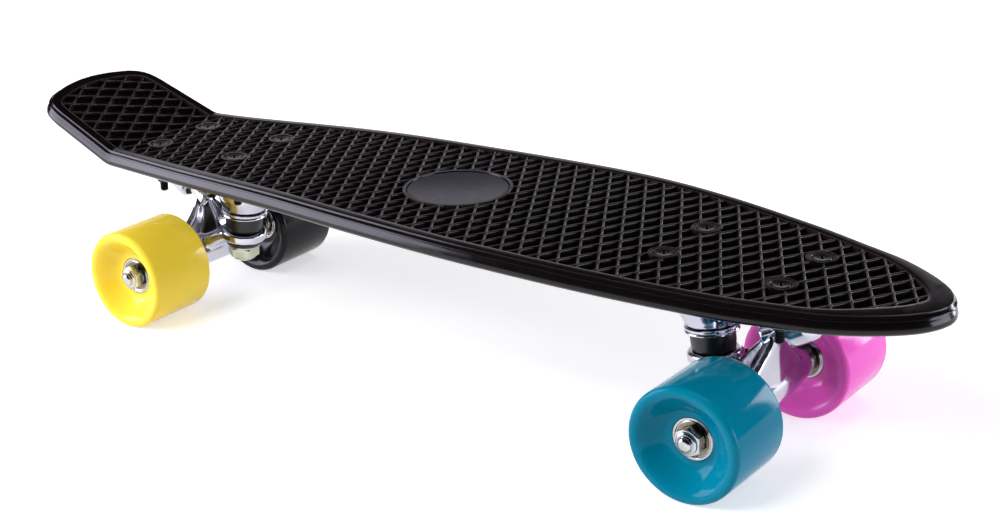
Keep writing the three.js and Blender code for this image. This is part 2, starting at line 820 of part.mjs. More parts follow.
// Cast yoke: axle tube, mast, neck, kingpin ring and pivot stub
function hanger() {
  const halfRing = ringThickness / 2;
  const ring = inStack(rod(ringRadius, -halfRing, halfRing, roundSides));
  const stubStart = -pivotStubTail;
  const stub = inPivot(turned([
    [0, stubStart], [pivotStubRadius, stubStart], [pivotStubRadius, pivotStubDepth - pivotStubRadius / 2],
    [pivotStubRadius / 2, pivotStubDepth], [0, pivotStubDepth],
  ], smallSides));
  const body = join([hangerTube(), hangerMast(), hangerNeck(), ring, stub]);
  return geometryOf(cut(body, [
    alongY(rod(axleRadius + restGap, -hangerEnd - cutOverrun, hangerEnd + cutOverrun, smallSides)),
    inStack(rod(ringHole, -ringThickness, ringThickness, roundSides)),
    inStack(rod(upperBushingRadius + restGap, halfRing, kingpinSeat, roundSides)),
    inStack(rod(lowerBushingRadius + restGap, -kingpinTail, -halfRing, roundSides)),
  ]));
}

function axle() {
  const half = axleHalfLength;
  return alongY(turned([
    [0, -half], [axleRadius - axleChamfer, -half], [axleRadius, axleChamfer - half],
    [axleRadius, half - axleChamfer], [axleRadius - axleChamfer, half], [0, half],
  ], smallSides));
}

// Wheel about Y, its outer face towards +Y: bearing seats, round lips and a dish on each side
function wheel() {
  const seat = bearingDiameter / 2 + seatGap;
  const shoulder = coreWidth / 2 - bearingWidth - restGap;
  const mouthRadius = wheelDiameter / 2 - dishMouthInset;
  const dishStart = seat + coreLip;
  const face = wheelWidth / 2;
  const half = [[coreBore, shoulder], [seat, shoulder], [seat, coreWidth / 2]];
  dishShares.forEach(([radiusShare, depthShare]) => {
    half.push([
      dishStart + radiusShare * (mouthRadius - dishStart),
      coreWidth / 2 + depthShare * (face - coreWidth / 2),
    ]);
  });
  half.push([mouthRadius + wheelLipWidth / 2, face]);
  for (let step = 0; step <= lipSteps; step += 1) {
    const turn = Math.PI / 2 * step / lipSteps;
    half.push([
      wheelDiameter / 2 - wheelLipRound * (1 - Math.sin(turn)),
      face - wheelLipRound * (1 - Math.cos(turn)),
    ]);
  }
  const mirrored = half.map(([radius, height]) => [radius, -height]).reverse();
  const flatShare = 1 / Math.cos(Math.PI / wheelSides);
  const profile = [...half, ...mirrored, half[0]].map(([radius, height]) => [radius * flatShare, height]);
  return alongY(turned(profile, wheelSides, Math.PI / wheelSides));
}

function bearing() {
  const bore = bearingBore / 2 + runningGap;
  return alongY(tube(bore, bearingDiameter / 2, -bearingWidth / 2, bearingWidth / 2, smallSides));
}

function spacer() {
  const half = coreWidth / 2 - bearingWidth - restGap;
  const bore = axleRadius + restGap;
  return alongY(tube(bore, bore + spacerWall, -half, half, smallSides));
}

// Lock nut with a round collar on its outer side
function axleNut() {
  const body = join([
    hexagon(axleNutFlats, 0, axleNutHeight),
    rod(axleNutCollarRadius, axleNutHeight / 2, axleNutHeight + axleNutCollar, smallSides),
  ]);
  const bore = rod(axleRadius + restGap, -cutOverrun, axleNutHeight + axleNutCollar + cutOverrun, smallSides);
  return alongY(geometryOf(cut(body, [bore])));
}

// One wheel with its bearings, spacer and nut; side is +1 on the truck's own left
function addWheel(frame, end, side, sideName) {
  const name = `${end}_${sideName}`;
  const hub = new THREE.Group();
  hub.position.set(0, side * wheelCentreY, 0);
  hub.rotation.z = side > 0 ? 0 : Math.PI;
  frame.add(hub);
  addPiece(hub, `${name}_wheel`, wheel(), materials[name]);
  const bearingY = (coreWidth - bearingWidth) / 2;
  addPiece(hub, `${name}_outer_bearing`, bearing(), materials.zinc).position.y = bearingY;
  addPiece(hub, `${name}_inner_bearing`, bearing(), materials.zinc).position.y = -bearingY;
  addPiece(hub, `${name}_spacer`, spacer(), materials.zinc);
  const nut = addPiece(hub, `${name}_axle_nut`, axleNut(), materials.zinc);
  nut.position.y = bearingOuterFace + restGap - wheelCentreY;
}

function addTruck({ end, axleX, turn }) {
  const frame = new THREE.Group();
  frame.position.set(axleX, 0, axleHeight);
  frame.rotation.z = turn;
  model.add(frame);
  addPiece(frame, `${end}_baseplate`, baseplate(), materials.polished);
  addPiece(frame, `${end}_pivot_cup`, pivotCup(), materials.bushing);
  addPiece(frame, `${end}_kingpin`, kingpin(), materials.zinc);
  addPiece(frame, `${end}_kingpin_nut`, kingpinNut(), materials.zinc);
  addPiece(frame, `${end}_cup_washer`, cupWasher(), materials.polished);
  addPiece(frame, `${end}_lower_washer`, lowerWasher(), materials.zinc);
  addPiece(frame, `${end}_upper_bushing`, upperBushing(), materials.bushing);
  addPiece(frame, `${end}_lower_bushing`, lowerBushing(), materials.bushing);
  addPiece(frame, `${end}_hanger`, hanger(), materials.polished);
  addPiece(frame, `${end}_axle`, axle(), materials.zinc);
  const left = turn === 0 ? 1 : -1;
  addWheel(frame, end, left, 'left');
  addWheel(frame, end, -left, 'right');
}

addPiece(model, 'deck', deck(), materials.deck);
addPiece(model, 'badge_plate', badgePlate(), materials.badge);
trucks.forEach(addMountingBolts);
trucks.forEach(addTruck);

export default model;
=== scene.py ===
"""Cruiser skateboard: deck, badge plate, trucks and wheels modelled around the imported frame.

The scene is in metres, +X to the nose, +Y to the left side, +Z up, and the wheels stand on z = 0.
The classes hold their sizes in millimetres.
"""

import logging
import math
from contextlib import contextmanager
from dataclasses import dataclass
from enum import Enum
from typing import Callable, Iterator, Sequence

import bpy
from mathutils import Matrix, Vector


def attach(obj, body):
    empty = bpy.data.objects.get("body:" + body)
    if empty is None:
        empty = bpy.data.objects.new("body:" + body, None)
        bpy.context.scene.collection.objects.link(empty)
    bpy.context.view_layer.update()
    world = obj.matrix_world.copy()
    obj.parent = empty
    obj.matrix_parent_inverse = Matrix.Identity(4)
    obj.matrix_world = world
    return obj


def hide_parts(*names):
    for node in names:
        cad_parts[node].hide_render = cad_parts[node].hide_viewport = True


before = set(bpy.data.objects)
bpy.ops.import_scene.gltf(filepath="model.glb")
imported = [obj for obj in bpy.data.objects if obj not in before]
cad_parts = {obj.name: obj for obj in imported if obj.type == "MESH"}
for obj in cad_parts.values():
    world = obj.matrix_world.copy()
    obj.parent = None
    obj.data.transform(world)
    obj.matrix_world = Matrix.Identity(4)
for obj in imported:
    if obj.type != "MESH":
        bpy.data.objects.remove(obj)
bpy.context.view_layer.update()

MM = 0.001
MERGE = 1e-7
SMOOTH_ANGLE = math.radians(32)
CAST_ANGLE = math.radians(58)
# Takes what was turned about Z onto Y, the way of the axles.
ACROSS = Matrix.Rotation(-math.pi / 2, 4, "X")
LOG = logging.getLogger("skateboard")

Piece = bpy.types.Object
Profile = Sequence[tuple[float, float]]
Table = tuple[tuple[float, ...], ...]
Ring = Sequence[Vector]
Colour = tuple[float, float, float, float]
Tree = bpy.types.NodeTree
Socket = bpy.types.NodeSocket


class Place(Enum):
    """An option with its name in the frame and a sign."""

    @property
    def word(self) -> str:
        """The name in the frame."""
        return self.value[0]

    @property
    def sign(self) -> int:
        """The sign of X or Y there."""
        return self.value[1]

    @property
    def turn(self) -> float:
        """The turn about Z that takes a piece made for the first option there."""
        return 0.0 if self.sign > 0 else math.pi


class End(Place):
    """The two ends of the board, with the sign of X."""

    NOSE = ("nose", 1)
    TAIL = ("tail", -1)


class Side(Place):
    """The board's own sides, with the sign of Y."""

    LEFT = ("left", 1)
    RIGHT = ("right", -1)


# Numbers and profiles


def held(value: float) -> float:
    """The value, held between 0 and 1."""
    return min(max(value, 0.0), 1.0)


def eased(distance: float, length: float) -> float:
    """Smooth share from 0 to 1 with a level start and end."""
    return (1 - math.cos(math.pi * held(distance / length))) / 2


def at(x: float, y: float, z: float) -> Matrix:
    """A move by millimetres."""
    return Matrix.Translation(Vector((x, y, z)) * MM)


def mirrored(half: Profile) -> list[tuple[float, float]]:
    """A profile and its mirror image below, as one loop."""
    return [*half, *((out, -up) for out, up in reversed(half))]


def between(rows: Sequence[Sequence[float]], steps: int) -> list[tuple[float, ...]]:
    """Smooth rows between the rows of a table, by Catmull and Rom's curve.

    Args:
        rows: The table.
        steps: Steps from one row to the next.

    Returns:
        The finer table, first and last rows included.
    """
    finer = []
    for k in range(len(rows) - 1):
        a, b, c, d = (rows[min(max(k + shift, 0), len(rows) - 1)] for shift in (-1, 0, 1, 2))
        for step in range(steps):
            t = step / steps
            finer.append(tuple(
                0.5 * (2 * q + (r - p) * t + (2 * p - 5 * q + 4 * r - s) * t * t
                       + (3 * q - p - 3 * r + s) * t ** 3)
                for p, q, r, s in zip(a, b, c, d)))
    return finer + [tuple(rows[-1])]


def thread(radius: float, depth: float, pitch: float, low: float,
           high: float) -> list[tuple[float, float]]:
    """The zigzag of a thread along a rod, as part of a turned profile.

    Args:
        radius: Outer radius of the thread.
        depth: Depth of its grooves.
        pitch: Distance from crest to crest.
        low: Where it starts.
        high: Where it ends.

    Returns:
        Points of (radius, height).
    """
    crests = max(1, int((high - low) / pitch))
    points = []
    for crest in range(crests):
        start = low + crest * pitch
        points += [(radius - depth, start), (radius, start + 0.4 * pitch),
                   (radius, start + 0.6 * pitch)]
    return points + [(radius - depth, low + crests * pitch)]


# Mesh tools


def deselect() -> None:
    """Leaves nothing selected."""
    bpy.ops.object.select_all(action="DESELECT")


def activate(piece: Piece) -> None:
    """Selects one piece and makes it the active one.

    Args:
        piece: The piece.
    """
    deselect()
    piece.select_set(True)
    bpy.context.view_layer.objects.active = piece


@contextmanager
def editing(piece: Piece) -> Iterator[None]:
    """Holds one piece in edit mode with all of it selected.

    Args:
        piece: The piece.

    Returns:
        The hold, for a with statement.
    """
    activate(piece)
    bpy.ops.object.mode_set(mode="EDIT")
    bpy.ops.mesh.select_all(action="SELECT")
    yield
    bpy.ops.object.mode_set(mode="OBJECT")


def pick(items: Callable[[], Sequence[object]], wanted: Callable[[object], bool]) -> None:
    """Selects only the edges or faces that pass a test, inside edit mode.

    Args:
        items: Gives the edges or faces of the mesh.
        wanted: The test.
    """
    bpy.ops.mesh.select_all(action="DESELECT")
    bpy.ops.object.mode_set(mode="OBJECT")
    for item in items():
        item.select = wanted(item)
    bpy.ops.object.mode_set(mode="EDIT")


def named(name: str) -> Piece:
    """Names the primitive that was added last.

    Args:
        name: The piece's name.

    Returns:
        The piece.
    """
    piece = bpy.context.active_object
    piece.name = piece.data.name = name
    return piece


def close_up(piece: Piece) -> None:
    """Merges doubles, drops loose parts and turns the faces outward.

    Args:
        piece: The piece.
    """
    with editing(piece):
        bpy.ops.mesh.remove_doubles(threshold=MERGE)
        bpy.ops.mesh.dissolve_degenerate(threshold=MERGE)
        bpy.ops.mesh.delete_loose(use_verts=True, use_edges=True, use_faces=False)
        bpy.ops.mesh.select_all(action="SELECT")
        bpy.ops.mesh.normals_make_consistent(inside=False)


def put(piece: Piece, place: Matrix) -> Piece:
    """Moves a piece and keeps the move in its mesh.

    Args:
        piece: The piece, at the origin.
        place: The move.

    Returns:
        The same piece.
    """
    activate(piece)
    piece.matrix_world = place
    bpy.ops.object.transform_apply(location=True, rotation=True, scale=True)
    return piece


def copied(piece: Piece, name: str, place: Matrix) -> Piece:
    """Copies a piece with its own mesh to another place.

    Args:
        piece: The modelled piece.
        name: The copy's name.
        place: Where the copy goes, from the piece's own place.

    Returns:
        The copy.
    """
    copy = piece.copy()
    copy.data = piece.data.copy()
    copy.name = copy.data.name = name
    bpy.context.scene.collection.objects.link(copy)
    return put(copy, place)


def drop(*pieces: Piece) -> None:
    """Removes pieces that have done their work."""
    for piece in pieces:
        bpy.data.objects.remove(piece, do_unlink=True)


def joined(pieces: Sequence[Piece]) -> Piece:
    """Joins pieces into one mesh of separate shells.

    Args:
        pieces: The pieces, of which the first stays.

    Returns:
        The joined piece.
    """
    activate(pieces[0])
    for piece in pieces[1:]:
        piece.select_set(True)
    bpy.ops.object.join()
    return pieces[0]


def modified(piece: Piece, kind: str, **settings: object) -> Piece:
    """Adds a modifier and applies it.

    Args:
        piece: The piece.
        kind: The modifier's type.
        settings: The modifier's settings by name.

    Returns:
        The same piece.
    """
    modifier = piece.modifiers.new(kind.title(), kind)
    for key, value in settings.items():
        setattr(modifier, key, value)
    activate(piece)
    bpy.ops.object.modifier_apply(modifier=modifier.name)
    return piece


def combined(whole: Piece, operation: str, *tools: Piece) -> Piece:
    """Adds tools to a piece, cuts them out of it or keeps what they share, and drops the tools.

    Args:
        whole: The piece.
        operation: UNION, DIFFERENCE or INTERSECT.
        tools: The other solids.

    Returns:
        The piece.
    """
    for tool in tools:
        modified(whole, "BOOLEAN", operation=operation, solver="MANIFOLD", object=tool)
        drop(tool)
    return whole


def turned(name: str, profile: Profile, sides: int, place: Matrix | None = None) -> Piece:
    """Spins a profile about Z into a closed piece.

    Args:
        name: The piece's name.
        profile: Points of (radius, height), in order round the section.
        sides: Steps of the spin.
        place: Where the piece goes.

    Returns:
        The piece.
    """
    deselect()
    bpy.ops.mesh.primitive_circle_add(vertices=len(profile), radius=MM, fill_type="NOTHING")
    piece = named(name)
    for vertex, (radius, height) in zip(piece.data.vertices, profile):
        vertex.co = (radius * MM, 0.0, height * MM)
    with editing(piece):
        bpy.ops.mesh.spin(steps=sides, angle=math.tau, center=(0, 0, 0), axis=(0, 0, 1))
    close_up(piece)
    return put(piece, place) if place else piece


def rod(name: str, radius: float, low: float, high: float, sides: int,
        place: Matrix | None = None) -> Piece:
    """A plain cylinder about Z, used as a cutting tool or as a start.

    Args:
        name: The piece's name.
        radius: Its radius.
        low: Height of its lower end.
        high: Height of its upper end.
        sides: Number of sides.
        place: Where the piece goes.

    Returns:
        The piece.
    """
    deselect()
    bpy.ops.mesh.primitive_cylinder_add(
        vertices=sides, radius=radius * MM, depth=(high - low) * MM,
        location=(0, 0, (low + high) / 2 * MM))
    return put(named(name), (place or Matrix()) @ bpy.context.active_object.matrix_world)


def block(name: str, size: Sequence[float], centre: Sequence[float], turn: float = 0.0) -> Piece:
    """A block, used as a tool or as a start.

    Args:
        name: The piece's name.
        size: Its sizes along X, Y and Z.
        centre: Its middle.
        turn: Its turn about Z in radians.

    Returns:
        The piece.
    """
    deselect()
    bpy.ops.mesh.primitive_cube_add(
        size=MM, location=Vector(centre) * MM, rotation=(0, 0, turn))
    piece = named(name)
    piece.scale = size
    bpy.ops.object.transform_apply(location=True, rotation=True, scale=True)
    return piece


def rounded(piece: Piece, radius: float) -> Piece:
    """Rounds a block's upright edges.

    Args:
        piece: The block.
        radius: The corners' radius.

    Returns:
        The same block.
    """
    def upright(edge: bpy.types.MeshEdge) -> bool:
        """Whether an edge joins points of different heights."""
        low, high = (piece.data.vertices[k].co for k in edge.vertices)
        return abs(low.z - high.z) > MM

    with editing(piece):
        pick(lambda: piece.data.edges, upright)
        bpy.ops.mesh.bevel(offset=radius * MM, segments=8, affect="EDGES")
    return piece


def ringed(name: str, rings: Sequence[Ring]) -> Piece:
    """Extrudes a filled circle ring by ring into a closed body.

    Args:
        name: The piece's name.
        rings: Rings with the same number of points, in metres.

    Returns:
        The piece.
    """
    deselect()
    bpy.ops.mesh.primitive_circle_add(vertices=len(rings[0]), radius=MM, fill_type="NGON")
    piece = named(name)
    station = piece.data.attributes.new("station", "INT", "POINT")
    for vertex, point in zip(piece.data.vertices, rings[0]):
        vertex.co = point
        station.data[vertex.index].value = vertex.index
    activate(piece)
    for ring in rings[1:]:
        bpy.ops.object.mode_set(mode="EDIT")
        bpy.ops.mesh.extrude_region_move()
        bpy.ops.object.mode_set(mode="OBJECT")
        stations = piece.data.attributes["station"].data
        for vertex in piece.data.vertices:
            if vertex.select:
                vertex.co = ring[stations[vertex.index].value]
    piece.data.attributes.remove(piece.data.attributes["station"])
    close_up(piece)
    return piece


def hexagon(name: str, flats: float, low: float, high: float, chamfer: float) -> Piece:
    """A six-sided blank about Z whose corners are turned off at both ends.

    Args:
        name: The piece's name.
        flats: Width across flats.
        low: Height of its lower face.
        high: Height of its upper face.
        chamfer: Height of the turned corners.

    Returns:
        The piece.
    """
    corner = flats / math.sqrt(3)
    face, clear = flats / 2 * 0.97, corner + 0.05
    blank = rod(name, corner, low, high, 6)
    turning = turned("turning", [
        (0, low), (face, low), (clear, low + chamfer), (clear, high - chamfer), (face, high),
        (0, high)], 48)
    return combined(blank, "INTERSECT", turning)


def lock_nut(name: str, flats: float, low: float, high: float, chamfer: float, collar: Profile,
             bore: float, sides: tuple[int, int]) -> Piece:
    """A lock nut about Z: a six-sided blank with a round collar and a bore.

    Args:
        name: The piece's name.
        flats: Width across flats.
        low: Height of the blank's lower face.
        high: Height of the blank's upper face.
        chamfer: Height of the turned corners.
        collar: The collar's turned profile, from the axis out and back.
        bore: The bore's radius.
        sides: Sides of the collar and of the bore.

    Returns:
        The nut.
    """
    nut = hexagon(name, flats, low, high, chamfer)
    combined(nut, "UNION", turned("collar", collar, sides[0]))
    heights = [low, high, *(up for _out, up in collar)]
    return combined(nut, "DIFFERENCE",
                    rod("bore", bore, min(heights) - 2, max(heights) + 2, sides[1]))


# Finishes


def linear(code: str) -> Colour:
    """Turns an sRGB hex value into the linear colour that shaders read."""
    parts = [int(code[k:k + 2], 16) / 255 for k in (1, 3, 5)]
    return (*(p / 12.92 if p <= 0.04045 else ((p + 0.055) / 1.055) ** 2.4 for p in parts), 1.0)


def grey(level: float) -> Colour:
    """A neutral linear colour."""
    return (level, level, level, 1.0)


def add_node(tree: Tree, kind: str, inputs: dict[str | int, object] | None = None,
             **settings: object) -> bpy.types.Node:
    """Adds a node with its settings, constants and links.

    Args:
        tree: The node tree.
        kind: The node's type without the leading ShaderNode.
        inputs: What each input takes, by its name or number: a socket is linked.
        settings: The node's own settings.

    Returns:
        The node.
    """
    node = tree.nodes.new("ShaderNode" + kind)
    for key, value in settings.items():
        setattr(node, key, value)
    for key, value in (inputs or {}).items():
        if isinstance(value, Socket):
            tree.links.new(value, node.inputs[key])
        else:
            node.inputs[key].default_value = value
    return node


def started(name: str, constants: dict[str, object]) -> tuple[bpy.types.Material, bpy.types.Node]:
    """Starts a material with constants on its shader's own sockets.

    Args:
        name: The material's name.
        constants: Values by input name.

    Returns:
        The material and its principled shader.
    """
    material = bpy.data.materials.new(name)
    material.use_nodes = True
    shader = material.node_tree.nodes["Principled BSDF"]
    for key, value in constants.items():
        shader.inputs[key].default_value = value
    return material, shader


@dataclass(frozen=True)
class Finish:
    """A finish: its name, its two shades as sRGB hex values and its typical shader values.

    The grain is the size of its unevenness and the relief its depth, both in millimetres.
    """

    name: str
    colour: str
    shade: str
    roughness: float
    metallic: float = 0.0
    ior: float | None = None
    subsurface: float = 0.0
    specular: float = 0.5
    grain: float = 4.0
    relief: float = 0.02
    roughness_spread: float = 0.06

    @staticmethod
    def patches(tree: Tree, size: float, detail: float = 2.0) -> Socket:
        """Noise on Object coordinates with patches of a real size.

        Args:
            tree: The node tree.
            size: Size of a patch in millimetres.
            detail: Octaves.

        Returns:
            The noise's value.
        """
        place = add_node(tree, "TexCoord").outputs["Object"]
        return add_node(tree, "TexNoise", {
            "Vector": place, "Scale": 1 / (size * MM), "Detail": detail}).outputs["Fac"]

    def surface(self, tree: Tree) -> tuple[Socket, Socket]:
        """The two shades in large patches, and gloss that is uneven in small ones.

        Args:
            tree: The node tree.

        Returns:
            The colour and the roughness.
        """
        shades = add_node(tree, "MapRange", {
            "Value": self.patches(tree, self.grain * 6), "From Min": 0.35, "From Max": 0.65})
        colour = add_node(tree, "Mix", {
            0: shades.outputs["Result"], 6: linear(self.shade), 7: linear(self.colour)},
            data_type="RGBA")
        gloss = add_node(tree, "MapRange", {
            "Value": self.patches(tree, self.grain), "From Min": 0.3, "From Max": 0.7,
            "To Min": self.roughness, "To Max": self.roughness + self.roughness_spread})
        return colour.outputs[2], gloss.outputs["Result"]

    def material(self) -> bpy.types.Material:
        """Builds the material: its surface and a fine relief.

        Returns:
            The material.
        """
        constants = {"Metallic": self.metallic, "Specular IOR Level": self.specular}
        if self.ior is not None:
            constants["IOR"] = self.ior
        if self.subsurface:
            constants |= {"Subsurface Weight": self.subsurface,
                          "Subsurface Radius": (1.0, 0.7, 0.5), "Subsurface Scale": 2 * MM}
        material, shader = started(self.name, constants)
        tree = material.node_tree
        colour, gloss = self.surface(tree)
        bump = add_node(tree, "Bump", {
            "Height": self.patches(tree, self.grain / 2), "Strength": 1.0,
            "Distance": self.relief * MM})
        for key, socket in (("Base Color", colour), ("Roughness", gloss),
                            ("Normal", bump.outputs["Normal"])):
            tree.links.new(socket, shader.inputs[key])
        return material


@dataclass(frozen=True)
class MouldedDeck(Finish):
    """Injection moulded polypropylene: deep black and glossy, with a painted sheen on the ribs'
    tops, lighter and duller, in place of their highlight.
    """

    # The ribs' tops: a lighter colour painted as their highlight, and a duller gloss.
    worn: str = "#2f2526"
    worn_roughness: float = 0.3
    # Size of the patches that break up the painted sheen, in millimetres.
    sheen_patch: float = 9.0
    haze: float = 14.0

    def surface(self, tree: Tree) -> tuple[Socket, Socket]:
        """Painted sheen from the piece's own attribute, broken up in patches, over a slightly hazy
        gloss.

        Args:
            tree: The node tree.

        Returns:
            The colour and the roughness.
        """
        # The attribute marks the ribs' tops, where the painted highlight goes.
        painted_sheen = add_node(tree, "Attribute", attribute_name="painted_sheen").outputs["Fac"]
        sheen_patches = add_node(tree, "MapRange", {
            "Value": self.patches(tree, self.sheen_patch, 4.0), "From Min": 0.3, "From Max": 0.7,
            "To Min": 0.72, "To Max": 1.0}).outputs["Result"]
        share = add_node(tree, "Math", {0: painted_sheen, 1: sheen_patches}, operation="MULTIPLY").outputs["Value"]
        colour = add_node(tree, "Mix", {
            0: share, 6: linear(self.colour), 7: linear(self.worn)}, data_type="RGBA")
        gloss = add_node(tree, "MapRange", {
            "Value": share, "To Min": self.roughness, "To Max": self.worn_roughness})
        haze = add_node(tree, "MapRange", {
            "Value": self.patches(tree, self.haze, 3.0), "From Min": 0.35, "From Max": 0.65,
            "To Min": 0.0, "To Max": self.roughness_spread})
        both = add_node(tree, "Math", {0: gloss.outputs["Result"], 1: haze.outputs["Result"]},
                        operation="ADD")
        return colour.outputs[2], both.outputs["Value"]


@dataclass(frozen=True)
class Metal(Finish):
    """A bare or plated metal."""

    metallic: float = 1.0
    relief: float = 0.01


@dataclass(frozen=True)
class WheelUrethane(Finish):
    """Cast urethane: even colour, glossy skin, light that sinks in a little; its slot's name."""

    slot: str = ""
    ior: float | None = 1.5
    subsurface: float = 0.25
    specular: float = 0.2
    relief: float = 0.004
    roughness_spread: float = 0.03


# Polypropylene off a polished mould: near black, with a hint of orange peel in its reflections, and
# a painted sheen on its ribs' tops.
DECK = MouldedDeck("moulded_deck", "#0e0a0b", "#0e0a0b", 0.15, ior=1.49, specular=0.3, grain=5.0,
                   relief=0.008)
# Lacquered plate: dark, even and satin.
BADGE = Finish("lacquered_badge", "#34343d", "#303038", 0.4, metallic=0.1, relief=0.004)
# Die-cast aluminium, buffed to a mirror that is a little wavy.
POLISHED = Metal("buffed_aluminium", "#cfcfd8", "#c2c3ce", 0.13, grain=5.0, roughness_spread=0.07)
# Zinc plate on turned steel: bright with a faint warm cast.
ZINC = Metal("zinc_plated_steel", "#c3c4c8", "#b3b1ab", 0.18, grain=1.6)
# Pale chromate over zinc, on the kingpin nut: a faint yellow green.
CHROMATE = Metal("yellow_chromate", "#bfc3ae", "#a8ab9a", 0.2, grain=1.4)
# Ground bearing steel: bright and nearly flat.
BEARING = Metal("ground_bearing_steel", "#bdbcbc", "#aeadab", 0.16, grain=1.2, relief=0.004)
# Bearing shield: thin pressed steel with a bronze tint from its grease.
SHIELD = Metal("pressed_shield", "#8f8572", "#756b5a", 0.22, grain=1.5)
# Black oxide on bolts and nuts: near black with a steely gleam.
BLACKENED = Metal("black_oxide_steel", "#2a2a2d", "#202022", 0.2, metallic=0.8, grain=1.0)
# Cast urethane bushing: black and slightly dull.
BUSHING = Finish("cast_bushing", "#0c0b0c", "#100f10", 0.34, ior=1.5, grain=1.5, relief=0.01)
WHEELS = {
    (End.NOSE, Side.LEFT): WheelUrethane("urethane_pink", "#f966cd", "#f762c9", 0.1,
                                         slot="wheel_pink"),
    (End.NOSE, Side.RIGHT): WheelUrethane("urethane_teal", "#017b96", "#017792", 0.08,
                                          subsurface=0.15, specular=0.09, slot="wheel_teal"),
    (End.TAIL, Side.LEFT): WheelUrethane("urethane_black", "#130f13", "#110e11", 0.16,
                                         subsurface=0.0, slot="wheel_black"),
    (End.TAIL, Side.RIGHT): WheelUrethane("urethane_yellow", "#fddb42", "#fbd83e", 0.1,
                                          slot="wheel_yellow"),
}


def dress(piece: Piece, material: bpy.types.Material, angle: float = SMOOTH_ANGLE) -> None:
    """Gives a piece its material and smooth shading.

    Args:
        piece: The piece.
        material: Its only material.
        angle: Faces that meet at more than this stay sharp.
    """
    piece.data.materials.clear()
    piece.data.materials.append(material)
    activate(piece)
    bpy.ops.object.shade_smooth_by_angle(angle=angle)


def settle(piece: Piece, body: str, node: str) -> None:
    """Makes a finished piece ride on its body in place of a CAD node.

    Args:
        piece: The piece.
        body: The CAD body it rides on.
        node: The CAD node that it replaces.
    """
    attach(piece, body)
    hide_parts(node)
    LOG.info("%s rides on %s for %s, %d faces", piece.name, body, node, len(piece.data.polygons))


# The board


